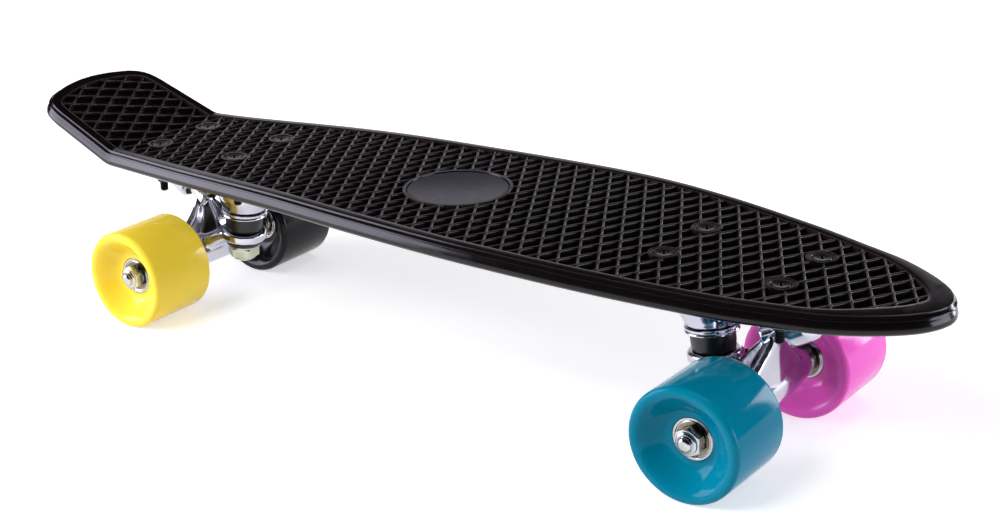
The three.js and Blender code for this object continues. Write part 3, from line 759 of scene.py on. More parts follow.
@dataclass
class Deck:
    """The moulded deck with its rim, waffle tread, bolt bosses and badge seat.

    It is cut flat, at depths below the rim's top, and then bent to the board's line. The rows of
    the lip give (distance from the rim's inner edge, depth), those of the roll (distance from the
    deck's side, depth), those of the ribs (depth, width) and those of the cuts (first, step,
    count). A drop is (depth, start, length).
    """

    length: float = 589.5
    width: float = 147.8
    crest_inset: float = 1.5
    rim: float = 8.2
    nose_rim: float = 13.5
    nose_rim_length: float = 60.0
    kick_length: float = 77.4
    kick_angle: float = math.radians(20.1)
    kick_bend: float = 14.0
    kick_overhang: float = 3.2
    crown: float = 102.2
    nose_drop: tuple[float, float, float] = (6.2, 70.0, 205.0)
    tail_drop: tuple[float, float, float] = (4.7, 50.0, 185.0)
    edge: float = 10.6
    tread: float = 0.35
    shell: float = 7.6
    skirt: float = 9.5
    lip_rows: Table = ((-0.25, 0.2), (-0.6, 0.06), (-1.0, 0.0), (-2.5, 0.0))
    roll_rows: Table = (
        (3.1, 0.0), (2.7, 0.05), (2.4, 0.2), (2.25, 0.5), (2.1, 0.9), (1.65, 1.4), (1.1, 1.95),
        (0.75, 2.35), (0.7, 2.6), (1.1, 2.85), (1.45, 3.2), (1.35, 3.6), (1.0, 4.2), (0.62, 4.95),
        (0.3, 5.8), (0.1, 6.7), (0.01, 7.4), (0.0, 7.8), (0.1, 8.3), (0.45, 8.9), (1.0, 9.5),
        (1.7, 10.0), (2.6, 10.4), (3.8, 10.6), (9.0, 10.6), (9.3, 10.3))
    cut_rows: Table = ((70, 15, 15), (-50, -12, 15))
    bend_cut: float = 0.8
    bend_cuts: int = 9
    pitch_long: float = 11.26
    pitch_wide: float = 19.5
    crossing: float = 6.0
    columns: int = 54
    rows: int = 8
    rib_rows: Table = (
        (-2.0, 0.1), (0.35, 0.1), (0.38, 0.5), (0.47, 0.86), (0.63, 1.16), (0.88, 1.4),
        (1.25, 1.6), (3.7, 2.2))
    pocket_corner: float = 0.7
    tread_margin: float = 0.3
    island: tuple[float, float] = (-12.0, 4.0)
    # Where the painted sheen on the ribs' tops starts above the tread and ends below it, with the
    # depth of each fade.
    sheen_above: tuple[float, float] = (0.2, 0.15)
    sheen_below: tuple[float, float] = (0.3, 0.25)
    badge_x: float = 12.7
    badge_radius: float = 28.4
    badge_wall: float = 1.9
    badge_bed: float = 1.9
    boss_radius: float = 7.9
    boss_hollow: float = 6.5
    boss_rise: float = 0.5
    head_radius: float = 4.8
    head_play: float = 0.3
    shank_radius: float = 2.8
    pad_size: tuple[float, float, float] = (84.0, 57.0, 8.4)
    pad_corner: float = 9.0
    pad_bottom: float = 84.5
    rib_size: tuple[float, float, float] = (249.0, 4.0, 6.3)
    rib_depth: float = 5.0
    rib_spacing: float = 26.0
    rib_round: float = 0.8
    # Half of the crest line, tail to nose: shares of half the length and of half the width.
    outline_shares: Table = (
        (-1, 0), (-0.997, 0.166), (-0.988, 0.332), (-0.975, 0.477), (-0.955, 0.566),
        (-0.929, 0.602), (-0.89, 0.616), (-0.845, 0.628), (-0.806, 0.638), (-0.768, 0.648),
        (-0.73, 0.661), (-0.685, 0.68), (-0.616, 0.714), (-0.514, 0.768), (-0.412, 0.815),
        (-0.275, 0.869), (-0.138, 0.916), (-0.002, 0.956), (0.141, 0.989), (0.249, 1),
        (0.362, 0.986), (0.465, 0.948), (0.55, 0.898), (0.635, 0.833), (0.706, 0.771),
        (0.77, 0.693), (0.816, 0.637), (0.852, 0.588), (0.887, 0.518), (0.925, 0.421),
        (0.949, 0.347), (0.966, 0.284), (0.979, 0.222), (0.99, 0.147), (0.997, 0.073), (1, 0))

    @property
    def kick_start(self) -> float:
        """Where the kick begins along the deck."""
        return self.kick_length - self.length / 2

    def top(self, x: float) -> float:
        """Height of the rim's top at a place along the deck.

        Args:
            x: The place.

        Returns:
            The height.
        """
        flat_x = max(x, self.kick_start)
        drop_nose, start_nose, reach_nose = self.nose_drop
        drop_tail, start_tail, reach_tail = self.tail_drop
        fall = drop_nose * eased(flat_x - start_nose, reach_nose)
        fall += drop_tail * eased(-start_tail - flat_x, reach_tail)
        past = flat_x - x
        on_bend = min(past, self.kick_bend * math.sin(self.kick_angle))
        rise = self.kick_bend - math.sqrt(self.kick_bend ** 2 - on_bend ** 2)
        return self.crown - fall + rise + (past - on_bend) * math.tan(self.kick_angle)

    def slope(self, x: float) -> float:
        """Slope of the top at a place along the deck."""
        return (self.top(x + 0.1) - self.top(x - 0.1)) / 0.2

    def bent(self, point: Vector) -> Vector:
        """Takes a point of the flat deck to its place on the bent one.

        Args:
            point: The point in metres.

        Returns:
            Its place in metres.
        """
        x, depth = point.x / MM, -point.z / MM
        slope = self.slope(x)
        steep = math.hypot(1, slope)
        return Vector((x + depth * slope / steep, point.y / MM, self.top(x) - depth / steep)) * MM

    def crest(self) -> list[Vector]:
        """The crest line in plan, through the table's points as a smooth curve.

        Returns:
            Its points, round from the tail.
        """
        nose_reach = self.length / 2 - self.crest_inset
        half_width = self.width / 2 - self.crest_inset
        tail_reach = nose_reach - self.kick_overhang
        half = [(along * (nose_reach if along > 0 else tail_reach), -across * half_width)
                for along, across in self.outline_shares]
        places = half + [(x, -y) for x, y in reversed(half[1:-1])]
        deselect()
        bpy.ops.curve.primitive_bezier_circle_add(radius=1.0)
        line = bpy.context.active_object
        spline = line.data.splines[0]
        spline.bezier_points.add(len(places) - len(spline.bezier_points))
        for knot, (x, y) in zip(spline.bezier_points, places):
            knot.handle_left_type = knot.handle_right_type = "AUTO"
            knot.co = (x, y, 0)
        spline.resolution_u = line.data.resolution_u = 4
        bpy.ops.object.convert(target="MESH")
        line = bpy.context.active_object
        points = [vertex.co.copy() for vertex in line.data.vertices]
        drop(line)
        return points

    def rim_at(self, point: Vector) -> float:
        """Rim width at a point of the crest line: it grows towards the nose."""
        growth = eased(point.x - self.length / 2 + self.nose_rim_length, self.nose_rim_length)
        return self.rim + (self.nose_rim - self.rim) * growth

    def ring(self, crest: Ring, inset: float, depth: float, from_rim: bool = False) -> Ring:
        """One ring of the flat deck.

        Args:
            crest: The crest line.
            inset: Distance from the deck's side, or from the rim's inner edge.
            depth: Depth below the rim's top.
            from_rim: Whether the distance counts from the rim's inner edge.

        Returns:
            The ring's points in metres.
        """
        points = []
        for k, point in enumerate(crest):
            along = crest[(k + 1) % len(crest)] - crest[k - 1]
            inward = Vector((-along.y, along.x, 0)).normalized()
            start = self.rim_at(point) if from_rim else 0.0
            moved = point + inward * (start + inset - self.crest_inset)
            points.append(Vector((moved.x, moved.y, -depth)) * MM)
        return points

    def body(self, crest: Ring) -> Piece:
        """The flat body, ring by ring from the tread over the rim to the underside.

        Args:
            crest: The crest line.

        Returns:
            The body, cut across wherever it has to bend.
        """
        lip, roll = [(0.0, self.tread), *self.lip_rows], [*self.roll_rows, (self.skirt, self.shell)]
        rings = [self.ring(crest, *row, from_rim=True) for row in lip]
        body = ringed("deck_moulding", rings + [self.ring(crest, *row) for row in roll])
        bend = (self.kick_start + self.bend_cut, -self.bend_cut, self.bend_cuts)
        for first, step, count in (*self.cut_rows, bend):
            for k in range(count):
                with editing(body):
                    bpy.ops.mesh.bisect(plane_co=((first + step * k) * MM, 0, 0),
                                        plane_no=(1, 0, 0))
        return body

    def pocket(self) -> Piece:
        """One diamond pocket of the tread: rounded corners, rounded mouth, a little draft.

        Returns:
            The pocket as a solid to cut with.
        """
        half_long, half_wide = self.pitch_long / 2, self.pitch_wide / 2
        reach = half_long * half_wide / math.hypot(half_long, half_wide)
        rings = []
        for depth, rib in self.rib_rows:
            share = 1 - rib / 2 / reach
            corners = [Vector((x * half_long, y * half_wide, 0)) * share
                       for x, y in ((1, 0), (0, 1), (-1, 0), (0, -1))]
            ring = []
            for k, corner in enumerate(corners):
                for other in (corners[k - 1], corners[(k + 1) % 4]):
                    ring.append(corner + (other - corner).normalized() * self.pocket_corner)
            rings.append([Vector((point.x, point.y, -depth)) * MM for point in ring])
        return ringed("pocket", rings)

    def pockets(self, crest: Ring, bolts: Sequence[Vector]) -> Piece:
        """All pockets of the tread, clear of the rim, the bolt bosses and the badge.

        Args:
            crest: The crest line.
            bolts: Places of the mounting bolts in metres.

        Returns:
            The pockets as one solid to cut with.
        """
        pocket = self.pocket()
        fields = []
        for shift, start_y in ((self.pitch_long / 2, 0.0), (0.0, self.pitch_wide / 2)):
            field = copied(pocket, "pocket_field", at(
                self.crossing + shift - self.columns // 2 * self.pitch_long,
                start_y - self.rows // 2 * self.pitch_wide, 0))
            for count, offset in ((self.columns, (self.pitch_long * MM, 0, 0)),
                                  (self.rows + 1, (0, self.pitch_wide * MM, 0))):
                modified(field, "ARRAY", count=count, use_relative_offset=False,
                         use_constant_offset=True, constant_offset_displace=offset)
            fields.append(field)
        drop(pocket)
        whole = joined(fields)
        edge = ringed("tread_edge", [self.ring(crest, self.tread_margin, depth, from_rim=True)
                                     for depth in (-4.0, self.edge)])
        combined(whole, "INTERSECT", edge)
        islands = [rod("island", self.boss_radius, *self.island, 32,
                       Matrix.Translation((bolt.x, bolt.y, 0))) for bolt in bolts]
        islands.append(rod("island", self.badge_radius + self.badge_wall, *self.island, 72,
                           at(self.badge_x, 0, 0)))
        return combined(whole, "DIFFERENCE", joined(islands))

    def pads(self) -> list[Piece]:
        """The pads under the deck that the trucks sit on.

        Returns:
            The two pads.
        """
        height = self.pad_bottom + self.pad_size[2] / 2
        return [rounded(block("pad", self.pad_size, (Truck.plate_x(end), 0, height)),
                        self.pad_corner) for end in End]

    def ribs(self) -> list[Piece]:
        """The stiffening ribs along the underside.

        Returns:
            The three ribs.
        """
        height = self.crown - self.shell - self.rib_depth + self.rib_size[2] / 2
        ribs = []
        for row in (-1, 0, 1):
            rib = block("rib", self.rib_size, (Truck.middle, row * self.rib_spacing, height))
            with editing(rib):
                bpy.ops.mesh.bevel(offset=self.rib_round * MM, segments=2, affect="EDGES")
            ribs.append(rib)
        return ribs

    def mark_painted_sheen(self, piece: Piece) -> None:
        """Writes how much painted sheen each point takes: all of it on the ribs' tops, in place of
        their highlight, nothing down the pockets.

        Args:
            piece: The bent deck.
        """
        painted_sheen = piece.data.attributes.new("painted_sheen", "FLOAT", "POINT")
        (above, rise), (below, fall) = self.sheen_above, self.sheen_below
        for vertex in piece.data.vertices:
            x, z = vertex.co.x / MM, vertex.co.z / MM
            depth = (self.top(x) - z) / math.hypot(1, self.slope(x))
            painted_sheen.data[vertex.index].value = (held((depth - self.tread + above) / rise)
                                             * held((self.tread + below - depth) / fall))

    def boss(self, place: Matrix) -> Piece:
        """The raised ring round a bolt's head.

        Args:
            place: The head's place.

        Returns:
            The ring.
        """
        inner, outer, rise = self.boss_hollow, self.boss_radius + 0.05, self.boss_rise
        return turned("boss_ring", [
            (inner, -2.0), (outer, -2.0), (outer, 0.2), (self.boss_radius - 0.3, rise),
            (inner + 0.3, rise), (inner, 0.2)], 40, place)

    def bolt_hole(self, place: Matrix) -> Piece:
        """The countersunk hole of a bolt, as a solid to cut with.

        Args:
            place: The head's place.

        Returns:
            The solid.
        """
        head, shank = self.head_radius + self.head_play, self.shank_radius
        return turned("bolt_hole", [
            (0, 3), (head + 0.5, 3), (head + 0.5, 0.3), (head, -0.3), (head, -0.6), (shank, -3.0),
            (shank, -30), (0, -30)], 32, place)

    def badge_seat(self) -> Piece:
        """The badge's round seat in the tread, as a solid to cut with.

        Returns:
            The solid.
        """
        radius, bed = self.badge_radius, -self.badge_bed
        height = self.top(self.badge_x) - self.tread - Badge.sink
        return turned("badge_seat", [
            (0, bed), (radius, bed), (radius, 0.2), (radius + 0.5, 1.0), (radius + 0.5, 3), (0, 3)],
            96, at(self.badge_x, 0, height))

    def build(self, bolts: Sequence[Vector]) -> None:
        """Models the deck.

        Args:
            bolts: Places of the bolts' heads in metres.
        """
        crest = self.crest()
        body = self.body(crest)
        combined(body, "DIFFERENCE", self.pockets(crest, bolts))
        for vertex in body.data.vertices:
            vertex.co = self.bent(vertex.co)
        places = [Matrix.Translation(bolt) for bolt in bolts]
        bosses = joined([self.boss(place) for place in places])
        holes = joined([self.bolt_hole(place) for place in places])
        combined(body, "UNION", *self.pads(), *self.ribs(), bosses)
        combined(body, "DIFFERENCE", holes, self.badge_seat())
        # The ribs' tops get a painted highlight.
        self.mark_painted_sheen(body)
        dress(body, DECK.material())
        settle(body, "board", "deck")


@dataclass
class Badge:
    """The round plate let into the tread, left bare."""

    sink: float = 0.5
    radius: float = 28.1
    thickness: float = 1.6

    def build(self, deck: Deck) -> None:
        """Models the plate: a flat disc with a low turned rim.

        Args:
            deck: The deck it lies in.
        """
        top = deck.top(deck.badge_x) - deck.tread - self.sink
        radius, low = self.radius, -self.thickness
        plate = turned("badge_disc", [
            (0, low), (radius, low), (radius, -0.35), (radius - 0.15, -0.1), (radius - 0.5, 0),
            (radius - 1.0, 0), (radius - 1.3, -0.12), (0, -0.12)], 128, at(deck.badge_x, 0, top))
        dress(plate, BADGE.material())
        settle(plate, "board", "badge_plate")


@dataclass
class Fasteners:
    """The flat-head bolts through the deck and their lock nuts."""

    length: float = 30.0
    head_radius: float = 4.8
    head_height: float = 2.7
    radius: float = 2.5
    thread_depth: float = 0.35
    thread_pitch: float = 0.8
    thread_length: float = 9.0
    recess: tuple[float, float, float] = (4.6, 1.0, 2.6)
    recess_degrees: float = 35.0
    nut_flats: float = 8.0
    nut_height: float = 5.0
    collar_height: float = 1.2

    def bolt(self) -> Piece:
        """One bolt, head up at the origin, with a cross recess.

        Returns:
            The bolt.
        """
        radius, head, low = self.radius, self.head_radius, -self.length
        bolt = turned("bolt", [
            (0, low), (radius - 0.6, low),
            *thread(radius, self.thread_depth, self.thread_pitch, low + 0.4,
                    low + self.thread_length),
            (radius, low + self.thread_length + 0.4), (radius, -self.head_height),
            (head - 0.1, -0.5), (head, -0.3), (head - 0.25, 0), (head - 0.7, 0),
            (head - 1.6, -0.12), (2.0, -0.22), (0, -0.26)], 40)
        cross = [block("blade", self.recess, (0, 0, -0.5),
                       math.radians(self.recess_degrees + turn)) for turn in (0, 90)]
        middle = turned("middle", [(0, 1), (1.5, 1), (1.5, 0), (0.7, -2.0), (0, -2.0)], 24)
        return combined(bolt, "DIFFERENCE", *cross, middle)

    def nut(self) -> Piece:
        """One lock nut under the baseplate, its upper face at the origin.

        Returns:
            The nut.
        """
        half, low = self.nut_flats / 2, -self.nut_height
        return lock_nut("nut", self.nut_flats, low + self.collar_height, 0, 0.5, [
            (0, low), (half - 0.7, low), (half - 0.15, low + 0.5), (half - 0.15, -1.5),
            (0, -1.5)], self.radius + 0.25, (40, 32))

    def build(self, places: dict[End, list[Vector]], plate_bottom: float) -> None:
        """Copies the bolt and the nut to their eight places.

        Args:
            places: Places of the heads in metres, for each end.
            plate_bottom: Height of the baseplates' lower face in metres.
        """
        bolt, nut = self.bolt(), self.nut()
        material = BLACKENED.material()
        for piece in (bolt, nut):
            dress(piece, material)
        for end, heads in places.items():
            for k, head in enumerate(heads, 1):
                low = Vector((head.x, head.y, plate_bottom))
                for piece, name, node, place in ((bolt, "flat_bolt", "bolt", head),
                                                 (nut, "lock_nut", "nut", low)):
                    copy = copied(piece, f"{end.word}_{name}_{k}", Matrix.Translation(place))
                    settle(copy, "board", f"{end.word}_{node}_{k}")
        drop(bolt, nut)


# The trucks


@dataclass
class Truck:
    """A cast truck in its own frame: origin on the axle, +X outward, +Z up.

    The rows of the mast give shares of its height and half width, how far its ridge stands out
    and how far its foot reaches in. Those of the neck give shares of the way to the ring, of the
    rise, of the half width and of the half height. All other rows are (radius, place along the
    piece's axis), counted from the middle of the tube and of the axle, from the pivot for the
    stub and the housing, and from the piece's own seat for the rest. A flow is the size of a
    casting's new faces and its rounds of smoothing.
    """

    half_spacing: float = 191.3
    middle: float = 8.6
    bolt_inset: float = 12.8
    axle_height: float = 29.8
    height: float = 54.7
    bolt_long: float = 63.5
    bolt_wide: float = 41.3
    bolt_hole: float = 2.8
    plate: tuple[float, float, float] = (81.0, 54.0, 6.0)
    plate_corner: float = 9.0
    plate_sink: float = 3.0
    plate_flow: tuple[float, int] = (0.7, 5)
    boss_rows: Table = (
        (0, 0), (12.6, 0), (13.4, 0.6), (13.9, 2.2), (15.2, 5), (16.4, 8.5), (17.0, 12.5))
    boss_radius: float = 17.2
    housing_rows: Table = (
        (0, 0), (7.8, 0), (9.8, 0.8), (10.5, 3), (10.5, 12), (9.6, 14.2), (7.5, 15), (0, 15))
    cup_radius: float = 7.8
    cup_depth: float = 11.6
    web_half_width: float = 4.5
    web_end: float = 20.5
    ring_inset: float = 27.0
    ring_rise: float = 12.2
    ring_radius: float = 14.0
    ring_hole: float = 8.0
    half_ring: float = 3.0
    ring_round: float = 0.8
    kingpin_angle: float = math.radians(7)
    kingpin_radius: float = 5.0
    kingpin_flats: float = 16.0
    kingpin_head: float = 6.4
    kingpin_sink: float = 7.4
    kingpin_end: float = -17.8
    kingpin_thread: tuple[float, float] = (0.5, 1.25)
    play: float = 0.3
    pivot_outset: float = 13.0
    pivot_rise: float = 36.2
    seat: float = 17.0
    upper_seat: float = 12.6
    lower_seat: float = 12.4
    stub_rows: Table = (
        (0, -14), (6.4, -14), (5.2, -6), (5.2, 6.4), (4.2, 8.4), (2.6, 9.0), (0, 9.0))
    cup_washer_rows: Table = (
        (12.5, 0), (12.5, -1.6), (12.8, -1.85), (13.6, -1.85), (14.0, -1.5), (14.1, -1.0),
        (13.9, -0.5), (13.6, -0.2), (13.9, 0.2), (14.1, 0.7), (14.0, 1.3), (13.6, 1.7))
    washer_rows: Table = ((10.1, -1.5), (10.4, -1.2), (10.4, -0.3), (10.1, 0))
    washer_top: float = -6.2
    nut_top: float = -8.0
    nut_flats: float = 17.0
    nut_height: float = 6.3
    nut_rows: Table = ((0, -8.3), (6.4, -8.3), (7.6, -7.4), (7.8, -5), (0, -5))
    axle_radius: float = 4.0
    axle_thread: tuple[float, float] = (0.42, 1.0)
    axle_end_rows: Table = ((3.5, 75.3), (3.1, 75.8), (2.2, 76.2), (1.1, 76.35), (0, 76.4))
    tube_rows: Table = (
        (10.8, 7), (10.4, 19), (9.2, 30), (8.2, 38.2), (7.9, 41.4), (7.0, 42.2), (0, 42.2))
    shoulder_rows: Table = ((0, 30), (5.8, 30), (5.8, 43.0), (5.6, 43.2), (0, 43.2))
    hanger_flow: tuple[float, int] = (0.6, 18)
    mast_height: float = 31.0
    mast_half_width: float = 33.0
    mast_ridge: tuple[float, float] = (6.5, 3.0)
    mast_foot: float = 16.0
    mast_flange: float = 5.0
    mast_rows: Table = (
        (0, 1, 0, 0.5), (0.3, 0.86, 0.02, 0.7), (0.48, 0.66, 0.1, 0.6), (0.66, 0.45, 0.3, 0.4),
        (0.84, 0.28, 0.6, 0.1), (1, 0.18, 1, -0.1))
    neck_half_width: float = 20.0
    neck_half_height: float = 8.0
    neck_rows: Table = (
        (-0.1, 0, 1, 1), (0.22, 0.32, 0.9, 0.8), (0.44, 0.68, 0.74, 0.57),
        (0.66, 0.92, 0.64, 0.41), (0.9, 1, 0.56, 0.36))

    @classmethod
    def plate_x(cls, end: End) -> float:
        """The middle of an end's baseplate along the board."""
        return cls.middle + end.sign * (cls.half_spacing - cls.bolt_inset)

    @property
    def bore(self) -> float:
        """Radius of a bore round the kingpin."""
        return self.kingpin_radius + self.play

    def stack(self) -> Matrix:
        """The kingpin's frame: Z runs up the kingpin from the middle of the ring."""
        place = at(-self.ring_inset, 0, self.ring_rise)
        return place @ Matrix.Rotation(-self.kingpin_angle, 4, "Y")

    def up_stack(self, height: float) -> float:
        """A height above the axle as a distance up the kingpin from the ring."""
        return (height - self.ring_rise) / math.cos(self.kingpin_angle)

    def pivot(self) -> Matrix:
        """The pivot's frame: Z runs into the pivot cup.

        Returns:
            The move from that frame to the truck's.
        """
        angle = math.atan2(self.pivot_rise - self.ring_rise, self.pivot_outset + self.ring_inset)
        place = at(self.pivot_outset, 0, self.pivot_rise)
        return place @ Matrix.Rotation(math.pi / 2 - angle, 4, "Y")

    def axle_place(self, end: End) -> Matrix:
        """The middle of an end's axle, in the board's frame."""
        return at(self.middle + end.sign * self.half_spacing, 0, self.axle_height)

    def place(self, end: End) -> Matrix:
        """The move from the truck's frame to an end of the board."""
        return self.axle_place(end) @ Matrix.Rotation(end.turn, 4, "Z")

    def heads(self, end: End, deck: Deck) -> list[Vector]:
        """Places of one truck's bolt heads, in the order of the frame's names.

        Args:
            end: The end of the board.
            deck: The deck.

        Returns:
            Places in metres.
        """
        heads = []
        for along in (1, -1):
            for across in (-1, 1):
                x = self.plate_x(end) + end.sign * along * self.bolt_long / 2
                y = end.sign * across * self.bolt_wide / 2
                heads.append(Vector((x, y, deck.top(x) - deck.tread)) * MM)
        return heads

    @staticmethod
    def cast(name: str, parts: Sequence[Piece], hollows: Sequence[Piece],
             flow: tuple[float, int]) -> Piece:
        """Unites parts and flows them together as a casting's fillets do.

        Args:
            name: The casting's name.
            parts: The parts.
            hollows: What is cut away before the fillets form.
            flow: Size of the new faces and rounds of smoothing.

        Returns:
            The casting.
        """
        whole, (voxel, rounds) = parts[0], flow
        combined(whole, "UNION", *parts[1:])
        combined(whole, "DIFFERENCE", *hollows)
        whole.name = whole.data.name = name
        modified(whole, "REMESH", mode="VOXEL", voxel_size=voxel * MM)
        return modified(whole, "SMOOTH", factor=0.5, iterations=rounds)

    def tube(self) -> Piece:
        """The hanger's axle tube along Y."""
        return turned("tube", mirrored(self.tube_rows), 48, ACROSS)

    def mast(self) -> Piece:
        """The hanger's mast: three-cornered sections that narrow upward to the pivot.

        Returns:
            The mast.
        """
        rings = []
        for high, wide, out, inset in between(self.mast_rows, 5):
            z, y = high * self.mast_height, wide * self.mast_half_width
            ridge, inner = self.mast_ridge[0] + out * self.mast_ridge[1], -inset * self.mast_foot
            middle = (ridge + inner) / 2
            thick = min(self.mast_flange, (ridge - inner) * 0.6)
            half = [(ridge + y / 16, y / 2), (ridge, y - 2), (ridge - thick / 2, y),
                    (ridge - thick, y - 2), (middle, y / 2.2), (inner, y / 4)]
            rings.append([Vector((px, py, z)) * MM
                          for px, py in [(ridge + y / 10, 0), *mirrored(half)]])
        return ringed("mast", rings)

    def neck(self) -> Piece:
        """The hanger's neck between the axle tube and the ring.

        Returns:
            The neck.
        """
        rings = []
        for way, rise, wide, thick in between(self.neck_rows, 4):
            x, z = -way * self.ring_inset, rise * self.ring_rise
            y, h = wide * self.neck_half_width, thick * self.neck_half_height
            upper = [(-y, h / 2), (h / 2 - y, h), (y - h / 2, h), (y, h / 2)]
            rings.append([Vector((x, py, z + pz)) * MM for py, pz in mirrored(upper)])
        return ringed("neck", rings)

    def hanger(self) -> Piece:
        """The cast yoke with its machined ends and seats.

        Returns:
            The hanger in the truck's frame.
        """
        stack, pivot = self.stack(), self.pivot()
        rim, radius, edge = self.half_ring, self.ring_radius, self.ring_round
        ring = turned("ring", [
            (0, -rim), (radius - edge, -rim), (radius, edge - rim), (radius, rim - edge),
            (radius - edge, rim), (0, rim)], 64, stack)
        stub = turned("stub", self.stub_rows, 40, pivot)
        seats = [rod("upper_seat", self.upper_seat, rim - 0.05, self.seat, 64, stack),
                 rod("lower_seat", self.lower_seat, self.kingpin_end, 0.05 - rim, 64, stack)]
        body = self.cast("hanger", [self.tube(), self.mast(), self.neck(), ring, stub], seats,
                         self.hanger_flow)
        for side in Side:
            combined(body, "UNION", turned("end", self.shoulder_rows, 48,
                                           Matrix.Rotation(side.turn, 4, "Z") @ ACROSS))
        return combined(body, "DIFFERENCE",
                        rod("axle_bore", self.axle_radius + self.play, -50, 50, 40, ACROSS),
                        rod("ring_bore", self.ring_hole, -7, 7, 64, stack))

    def baseplate(self) -> Piece:
        """The cast base: bolted plate, kingpin boss, pivot housing and the web between them.

        Returns:
            The baseplate in the truck's frame.
        """
        stack, pivot = self.stack(), self.pivot()
        thick = self.plate[2]
        bottom, sunk = self.height - thick, self.height - self.plate_sink
        plate = rounded(block("plate", self.plate, (-self.bolt_inset, 0, bottom + thick / 2)),
                        self.plate_corner)
        boss_top = self.up_stack(sunk)
        boss = turned("boss", [
            *((out, self.seat + up) for out, up in self.boss_rows), (self.boss_radius, boss_top),
            (0, boss_top)], 64, stack)
        housing = turned("housing", self.housing_rows, 48, pivot)
        rise = bottom - self.plate_sink
        web = ringed("web", [[Vector((x, y, z)) * MM for x, z in (
            (-self.ring_inset, sunk), (-self.ring_inset, rise - 5), (0, rise - 2.5),
            (self.pivot_outset, rise - 2.5), (self.web_end, sunk))]
            for y in (-self.web_half_width, self.web_half_width)])
        body = self.cast("baseplate", [plate, boss, housing, web], [], self.plate_flow)
        tools = [
            rod("kingpin_bore", self.bore, 10, boss_top, 40, stack),
            rod("head_pocket", self.kingpin_flats / math.sqrt(3) + 0.6, boss_top - 4.9,
                boss_top + 8, 40, stack),
            rod("cup_bore", self.cup_radius, -3, self.cup_depth, 40, pivot)]
        tools += [rod("bolt_hole", self.bolt_hole, bottom - 3, self.height + 3, 32, at(
            along * self.bolt_long / 2 - self.bolt_inset, across * self.bolt_wide / 2, 0))
            for along in (1, -1) for across in (1, -1)]
        return combined(body, "DIFFERENCE", *tools)

    def on_kingpin(self, name: str, rows: Profile, height: float, sides: int) -> Piece:
        """A turned ring about the kingpin.

        Args:
            name: The piece's name.
            rows: Its outside, from its lower face to its upper one.
            height: Where the rows count from.
            sides: Steps of the spin.

        Returns:
            The ring in the truck's frame.
        """
        outside = [(out, height + up) for out, up in rows]
        inside = [(self.bore, up) for _out, up in (outside[0], outside[-1])]
        return turned(name, [inside[0], *outside, inside[1]], sides, self.stack())

    def soft_ring(self, name: str, radius: float, low: float, high: float, belly: float) -> Piece:
        """A urethane bushing about the kingpin.

        Args:
            name: The piece's name.
            radius: Its radius at the ends.
            low: Height of its lower face.
            high: Height of its upper face.
            belly: How far its side swells at the middle.

        Returns:
            The bushing in the truck's frame.
        """
        side = [(radius + belly * math.sin(math.pi * k / 6),
                 low + 0.7 + (high - low - 1.4) * k / 6) for k in range(7)]
        return self.on_kingpin(name, [
            (radius - 0.7, low), (radius - 0.2, low + 0.2), *side, (radius - 0.2, high - 0.2),
            (radius - 0.7, high)], 0.0, 64)

    def kingpin_nut(self) -> Piece:
        """The lock nut at the road side of the stack.

        Returns:
            The nut in the truck's frame.
        """
        top = self.nut_top
        collar = [(out, top + up) for out, up in self.nut_rows]
        return put(lock_nut("kingpin_nut", self.nut_flats, top - self.nut_height, top, 0.9, collar,
                            self.kingpin_radius + 0.25, (48, 40)), self.stack())

    def kingpin(self) -> Piece:
        """The kingpin bolt with its head up in the baseplate and its thread below.

        Returns:
            The kingpin in the truck's frame.
        """
        low, radius = self.kingpin_end, self.kingpin_radius
        seat = self.up_stack(self.height) - self.kingpin_sink
        shank = turned("kingpin", [
            (0, low), (radius - 1.3, low), *thread(radius, *self.kingpin_thread, low + 0.5, -7.5),
            (radius, -7.2), (radius, seat + 1), (0, seat + 1)], 40)
        head = hexagon("head", self.kingpin_flats, seat, seat + self.kingpin_head, 0.8)
        return put(combined(shank, "UNION", head), self.stack())

    def cup_washer(self) -> Piece:
        """The cup washer under the boss, with two rolled rings round its edge.

        Returns:
            The washer in the truck's frame.
        """
        thick = self.cup_washer_rows[-1][1]
        return self.on_kingpin("cup_washer", self.cup_washer_rows, self.seat - self.play - thick,
                               72)

    def washer(self) -> Piece:
        """The flat washer between the lower bushing and the nut.

        Returns:
            The washer in the truck's frame.
        """
        return self.on_kingpin("lower_washer", self.washer_rows, self.washer_top, 56)

    def axle(self) -> Piece:
        """The axle rod along Y with threaded, domed ends.

        Returns:
            The rod in the truck's frame.
        """
        radius = self.axle_radius
        side = [(radius, 64.0), *thread(radius, *self.axle_thread, 64.4, 75.0),
                *self.axle_end_rows]
        return turned("axle", mirrored(side), 40, ACROSS)

